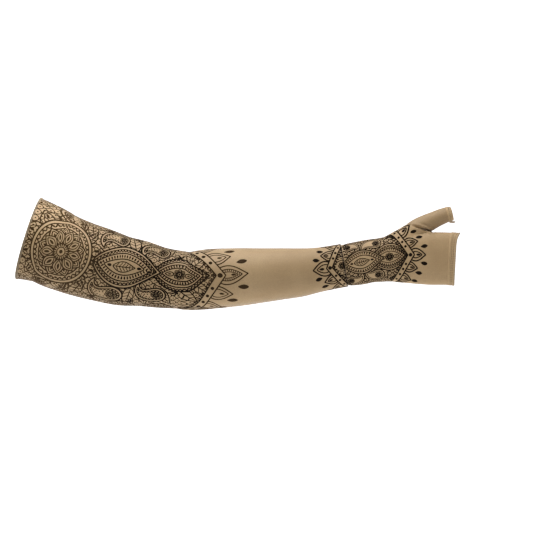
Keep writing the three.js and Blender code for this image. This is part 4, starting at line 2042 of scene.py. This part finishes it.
def wrist_panel() -> Drawing:
    """Draws the print for one half of the wrist and hand, 0 at the sleeve's wrist edge.

    Returns:
        The drawing.
    """
    made = scale_ground((-34, 104, -47, 47), 6.4, 5.0, 1.9)
    for along, across, turn, reach in ((20, 10, 72, 27), (48, 9, 66, 27), (70, 10, 54, 24), (85, 6, 44, 20)):
        made.pair(feather_motif(reach, 12, 4.4, 1.3), along + 1j * across, turn)
    for side in (45j, -45j):
        for along, radius in ((2, 13), (34, 12)):
            made.place(flower_motif(radius, 9), along + side)
    for length, radius, curl, at, turn in ((28, 8.6, 2.4, 47 + 25j, 168), (24, 7.6, -2.3, 7 + 28j, 10)):
        horn = Drawing().nest(horn_shape(length, radius, curl), (Ring(0, width=1.5), Ring(2.4, width=1.1)))
        horn.place(flower_motif(radius * 0.56, 6), 0)
        made.pair(horn, at, turn)
    made.pair(scroll_motif(7, 1.0), 66 + 31j, 20)
    made.place(almond_motif(38, 28, (Ring(0, width=1.6), Ring(3.0, Mark.DOTS, size=1.9, pitch=4.0),
                                     Ring(6.0, width=1.3)), flower_motif(5.6, 6)), -4 + 0j)
    made.place(almond_motif(58, 40, (
        Ring(0, width=1.7), Ring(2.9, width=1.2), Ring(3.1, Mark.SCALLOPS, 1.15, 4.2, 2.4),
        Ring(7.1, width=1.4), Ring(7.3, Mark.RAYS, 1.3, 3.2, 2.9), Ring(11.8, width=1.2)),
        blossom_heart(6.0, 1.2)), 65 + 0j)
    made.place(almond_motif(60, 36, (
        Ring(0, width=1.7), Ring(2.8, width=1.2), Ring(3.2, Mark.DROPS, 1.8, 3.6, 3.5), Ring(8.2, width=1.4)),
        bud_heart(23, 11, 1.2)), 25 + 0j)
    Border(tip=101, slope=0.62, half=45, band=9.5, main=(25, 17.5), side=(21, 14.5),
           side_places=(14, 28.5, 45), drops=((14, 12), (6.5, 25.5), (0.5, 38)), drop=(9.8, 5.4),
           dots=(0, 12.5, 19.5, 27, 35), dot=3.7, inset=4.3).draw(made)
    turned = Drawing()
    turned.strokes = [(-points, widths) for points, widths in made.strokes]
    Border(tip=27, slope=0.58, half=45, band=8.5, main=(30, 21), side=(22, 15), side_places=(14.5, 29, 45),
           drops=((13, 13.5), (5.5, 27), (-2, 39.5)), drop=(10, 5.6), dots=(0, 13, 21, 30), dot=3.8,
           inset=4.6).draw(turned)
    made.strokes = [(-points, widths) for points, widths in turned.strokes]
    return made


Mapping = Callable[[Points, Points, float], tuple[Points, Points]]
# Measures of the flat prints and of their way onto the cloth, in millimetres
ARM_GIRTH = 300.0
WRIST_GIRTH = 180.0
ARM_LEAN_AT = (0, 80, 150, 232, 293, 330)
ARM_LEAN_SHARES = (0, 0.2, 0.7, 1.0, 0.5, 0.6)
HAND_LEAN_END = 98.0
RAY_START = 60.0
RAY_REACH = 75.0
ON_BALL = 60.0


@dataclass
class Print:
    """Lays a drawing on the cloth as a thin skin of ink, whose lines can be heavier along one zone."""

    name: str
    strokes: Sequence[tuple[Points, Points]]
    mapping: Mapping
    girth: float
    pitch: float = 1.3
    kept_whole: int = 9
    lift: float = 0.08
    sink: float = 0.14
    heavier: float = 0.0
    heavy_zone: tuple[float, float, float, float] = (175.0, 215.0, 260.0, 285.0)

    def _sections(self) -> tuple[Points, Points, Points]:
        """Thins the strokes' points out to the ink's own pitch.

        Returns:
            The places, the half widths as vectors, and the number of each place's stroke.
        """
        places, sides, owners = [], [], []
        for index, (points, widths) in enumerate(self.strokes):
            run = path_run(points)
            count = len(points)
            if count > self.kept_whole:
                count = max(3, min(count, int(run[-1] / self.pitch) + 2))
            at = np.linspace(0, run[-1], count)
            even = along_path(at, run, points)
            ahead = np.gradient(even)
            ahead /= np.abs(ahead) + 1e-9
            places.append(even)
            swell = 1 + self.heavier * np.interp(even.real, self.heavy_zone, (0, 1, 1, 0))
            sides.append(ahead * 0.5j * swell * np.maximum(0.2, np.interp(at, run, widths)))
            owners.append(np.full(count, index))
        return np.concatenate(places), np.concatenate(sides), np.concatenate(owners)

    def build(self, finish: bpy.types.Material, slot: str) -> bpy.types.Object:
        """Builds the ink as one joined mesh of thin closed strokes.

        Args:
            finish: the ink's material.
            slot: the slot's name, passed on to dress().

        Returns:
            The ink.
        """
        places, sides, owners = self._sections()
        rails = [places + sides, places, places - sides, places]
        tops = [self.mapping(rail.real, rail.imag, self.lift) for rail in rails[:3]]
        under = self.mapping(places.real, places.imag, -self.sink)
        points = np.stack([tops[0][0], tops[1][0], tops[2][0], under[0]], axis=1)
        normals = np.stack([tops[0][1], tops[1][1], tops[2][1], tops[1][1]], axis=1)
        along = np.stack([rail.real for rail in rails], axis=1)
        around = np.stack([rail.imag for rail in rails], axis=1)
        first = np.flatnonzero(owners[:-1] == owners[1:])
        here, after = first[:, None] * 4 + np.arange(4), (first[:, None] + 1) * 4 + np.arange(4)
        walls = np.stack([here, np.roll(here, -1, axis=1), np.roll(after, -1, axis=1), after], axis=-1)
        starts = np.flatnonzero(np.concatenate([[True], owners[:-1] != owners[1:]])) * 4
        ends = np.flatnonzero(np.concatenate([owners[:-1] != owners[1:], [True]])) * 4
        faces = walls.reshape(-1, 4).tolist()
        faces += (starts[:, None] + np.array([3, 2, 1, 0])).tolist()
        faces += (ends[:, None] + np.arange(4)).tolist()
        piece = new_object(self.name, points, faces)
        weave_coordinates(piece, along.ravel(), around.ravel() + self.girth / 2, self.girth * 10)
        piece.data.normals_split_custom_set_from_vertices(normals.reshape(-1, 3).tolist())
        dress(piece, finish, slot)
        return piece


def arm_mapping(offset: float, girth: float, shift: float, lean: float) -> Mapping:
    """Makes a mapping from a flat panel to the sleeve.

    Args:
        offset: the distance along the arm at which the panel's 0 lies.
        girth: the cloth's flat girth.
        shift: how far round the panel is turned.
        lean: how far round its middle line has moved at its end.

    Returns:
        The mapping, which gives points and outward directions.
    """

    def place(along: Points, around: Points, lift: float) -> tuple[Points, Points]:
        """Lays flat places on the sleeve, and where its wrist edge stands out, on that."""
        distance = np.clip(along + offset, 0.4, ARM.length)
        turn = around + shift + lean * np.interp(along, ARM_LEAN_AT, ARM_LEAN_SHARES)
        share = (turn / girth * 2 + 1) % 2 - 1
        band = np.clip((distance - (ARM.length - WRIST_EDGE_WIDTH - 0.4)) / 0.5, 0, 1) * 0.3
        stand = -(lift + band)
        return ARM.skin(distance, share, stand), ARM.normals(distance, share)

    return place


def hand_mapping(skin: bpy.types.Object, girth: float, shift: float, lean: float) -> Mapping:
    """Makes a mapping from a flat panel to the hand part's skin, found by rays.

    What lies more than ON_BALL beside the middle line is laid on the ball of the thumb, from straight
    in front of it, at that much less above the palm's middle.

    Args:
        skin: the skin over palm and thumb.
        girth: the cloth's flat girth.
        shift: how far round the panel is turned.
        lean: how far round its middle line has moved at its end.

    Returns:
        The mapping, which gives points and outward directions.
    """
    tree = BVHTree.FromObject(skin, bpy.context.evaluated_depsgraph_get())
    mesh = skin.data

    def place(along: Points, around: Points, lift: float) -> tuple[Points, Points]:
        """Lays flat places on the skin, by a ray from outside to each."""
        distance = np.clip(along + CUFF_LAP, 0, PALM.length)
        turn = around + shift + lean * np.clip(along / HAND_LEAN_END, 0, 1)
        share = (turn / girth * 2 + 1) % 2 - 1
        surface, outward = PALM.skin(distance, share), PALM.normals(distance, share)
        past = np.abs(around) > ON_BALL
        rise = (np.abs(around[past]) - ON_BALL)[:, None] * np.array([0, 0, 1.0])
        surface[past] = PALM.read(distance[past], PALM.centres) + rise
        outward[past] = (0, -1.0 if shift == 0 else 1.0, 0)
        points, normals = surface.copy(), outward.copy()
        for index, (point, out) in enumerate(zip(surface, outward)):
            ray = Vector(out)
            hit, _, face, _ = tree.ray_cast((Vector(point) + ray * RAY_START) * MM, -ray, RAY_REACH * MM)
            if hit is None:
                continue
            total = Vector()
            for corner in mesh.polygons[face].vertices:
                total += mesh.vertices[corner].normal
            total.normalize()
            points[index] = np.array(hit) / MM
            normals[index] = total
        return points + normals * lift, normals

    return place


def build_print(skin: bpy.types.Object) -> None:
    """Prints the arm, the wrist and the hand, front and back alike.

    Args:
        skin: the skin over palm and thumb.
    """
    sleeve_ink, hand_ink = SLEEVE_INK.material(), HAND_INK.material()
    arm = arm_panel()
    wrist = wrist_panel()
    for name, shift in (("front", 0.0), ("back", ARM_GIRTH / 2)):
        sleeve = arm_mapping(0, ARM_GIRTH, shift, 9)
        printed = Print(f"arm_print_{name}", arm.strokes, sleeve, ARM_GIRTH, heavier=0.13)
        printed.build(sleeve_ink, "sleeve_knit")
    sleeve_part, hand_part = Drawing(), Drawing()
    sleeve_part.strokes, hand_part.strokes = list(wrist.strokes), list(wrist.strokes)
    sleeve_part.crop(np.array([-90 - 46j, -0.1 - 46j, -0.1 + 46j, -90 + 46j]))
    hand_part.crop(np.array([0.5 - 44.9j, 130 - 44.9j, 130 + 44.9j, 0.5 + 44.9j]))
    beside_thumb = np.array([77.4 + 40j, 96.7 + 40j, 96.7 + 33j, 130 + 33j, 130 + 46j, 74.6 + 46j])
    for name, shift, turn in (("front", 0.0, 1), ("back", WRIST_GIRTH / 2, -1)):
        sleeve = arm_mapping(ARM.length, WRIST_GIRTH, shift, 0)
        printed = Print(f"wrist_print_{name}", sleeve_part.strokes, sleeve, WRIST_GIRTH, 1.0)
        printed.build(hand_ink, "sleeve_knit")
        drawn = Drawing()
        drawn.strokes = list(hand_part.strokes)
        drawn.cover(beside_thumb if turn > 0 else np.conj(beside_thumb))
        drawn.blot(100 + (ON_BALL + 38.5) * 1j * turn, 9.4, 5.0, 0.3 * turn)
        hand = hand_mapping(skin, WRIST_GIRTH, shift, 5)
        printed = Print(f"hand_print_{name}", drawn.strokes, hand, WRIST_GIRTH, 1.0)
        printed.build(hand_ink, "hand_knit")


@dataclass(frozen=True)
class SoftBox:
    """A soft light: its place and aim, its width and height in metres, its power in watts and its beam."""

    name: str
    place: tuple[float, float, float]
    aim: tuple[float, float, float]
    size: tuple[float, float]
    power: float
    spread: float = math.pi

    def hang(self) -> None:
        """Puts the light into the scene."""
        data = bpy.data.lights.new(self.name, "AREA")
        data.shape = "RECTANGLE"
        data.size, data.size_y = self.size
        data.energy = self.power
        data.spread = self.spread
        lamp = bpy.data.objects.new(self.name, data)
        lamp.location = self.place
        lamp.rotation_euler = (Vector(self.aim) - Vector(self.place)).to_track_quat("-Z", "Y").to_euler()
        bpy.context.scene.collection.objects.link(lamp)


@dataclass
class Studio:
    """The plain pale studio: floor, lights and the camera at the photograph's angle, in metres."""

    sensor: float = 36.0
    frame_width: float = 0.7729
    distance: float = 2.8
    aim: tuple[float, float] = (0.3451, -0.041)
    boxes: tuple[SoftBox, ...] = (
        SoftBox("top_box", (0.1, -0.2, 1.3), (0.25, 0.0, -0.03), (1.7, 0.8), 28.5),
        SoftBox("front_box", (-0.9, -2.5, 0.35), (0.3451, 0.0, -0.041), (2.0, 1.2), 5.0),
        SoftBox("left_box", (-0.3, -0.3, 1.1), (-0.07, 0.0, 0.03), (0.2, 0.2), 0.34, math.radians(20)),
        SoftBox("back_box", (0.5, 2.2, 0.3), (0.3451, 0.0, -0.041), (2.0, 1.2), 9.0),
    )
    bounce: float = 0.4
    ambience: float = 0.15

    @staticmethod
    def _glow(sheet: NodeSheet, share: float, strength: bpy.types.NodeSocket) -> None:
        """Makes a surface look white and light the object with only a share of that.

        Args:
            sheet: the sheet of the surface's nodes.
            share: the share that lights the object.
            strength: the socket of the surface's own light.
        """
        seen = sheet.node("ShaderNodeLightPath").outputs["Is Camera Ray"]
        sheet.link(sheet.math("MULTIPLY_ADD", seen, 1 - share, share), strength)

    def floor(self) -> None:
        """Lays a pale floor that sweeps up behind the object."""
        low, radius = -0.55, 1.2
        turn = np.linspace(0, math.pi / 2, 24)
        y = np.concatenate([[-4.0], 2.5 + radius * np.sin(turn), [2.5 + radius]]) / MM
        z = np.concatenate([[low], low + radius * (1 - np.cos(turn)), [low + 5.0]]) / MM
        sides = [np.stack([np.full(len(y), x / MM), y, z], axis=-1) for x in (-5.0, 5.7)]
        count = len(y)
        faces = [[k, k + count, k + count + 1, k + 1] for k in range(count - 1)]
        sweep = new_object("studio_floor", np.vstack(sides), faces)
        made = bpy.data.materials.new("studio paper")
        made.use_nodes = True
        shader = made.node_tree.nodes["Principled BSDF"]
        shader.inputs["Base Color"].default_value = (0.85, 0.85, 0.85, 1)
        shader.inputs["Roughness"].default_value = 0.9
        shader.inputs["Emission Color"].default_value = (1, 1, 1, 1)
        self._glow(NodeSheet(made.node_tree), self.bounce, shader.inputs["Emission Strength"])
        sweep.data.materials.append(made)

    def build(self) -> None:
        """Sets up the floor, the lights, the surroundings and the camera."""
        self.floor()
        for box in self.boxes:
            box.hang()
        world = bpy.data.worlds.new("studio")
        world.use_nodes = True
        background = world.node_tree.nodes["Background"]
        background.inputs["Color"].default_value = (1, 1, 1, 1)
        self._glow(NodeSheet(world.node_tree), self.ambience, background.inputs["Strength"])
        bpy.context.scene.world = world
        bpy.context.scene.view_settings.view_transform = "Standard"
        data = bpy.data.cameras.new("camera")
        data.sensor_fit = "HORIZONTAL"
        data.sensor_width = self.sensor
        data.lens = self.sensor * self.distance / self.frame_width
        data.clip_end = 50
        camera = bpy.data.objects.new("camera", data)
        camera.location = (self.aim[0], -self.distance, self.aim[1])
        camera.rotation_euler = (math.pi / 2, 0, 0)
        bpy.context.scene.collection.objects.link(camera)
        bpy.context.scene.camera = camera


def main() -> None:
    """Builds every piece in order."""
    logging.basicConfig(level=logging.INFO, format="%(message)s")
    Studio().build()
    ArmSleeve().build()
    hand = HandPart()
    hand.build()
    build_print(hand.skin)
    bpy.data.objects.remove(hand.skin)
    SleeveEdges().build()
    hem = HEM_KNIT.material()
    FingerHem().build(hem)
    ThumbHem().build(hem)
    SeamTail().build(hem)
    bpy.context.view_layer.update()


if __name__ == "__main__":
    main()
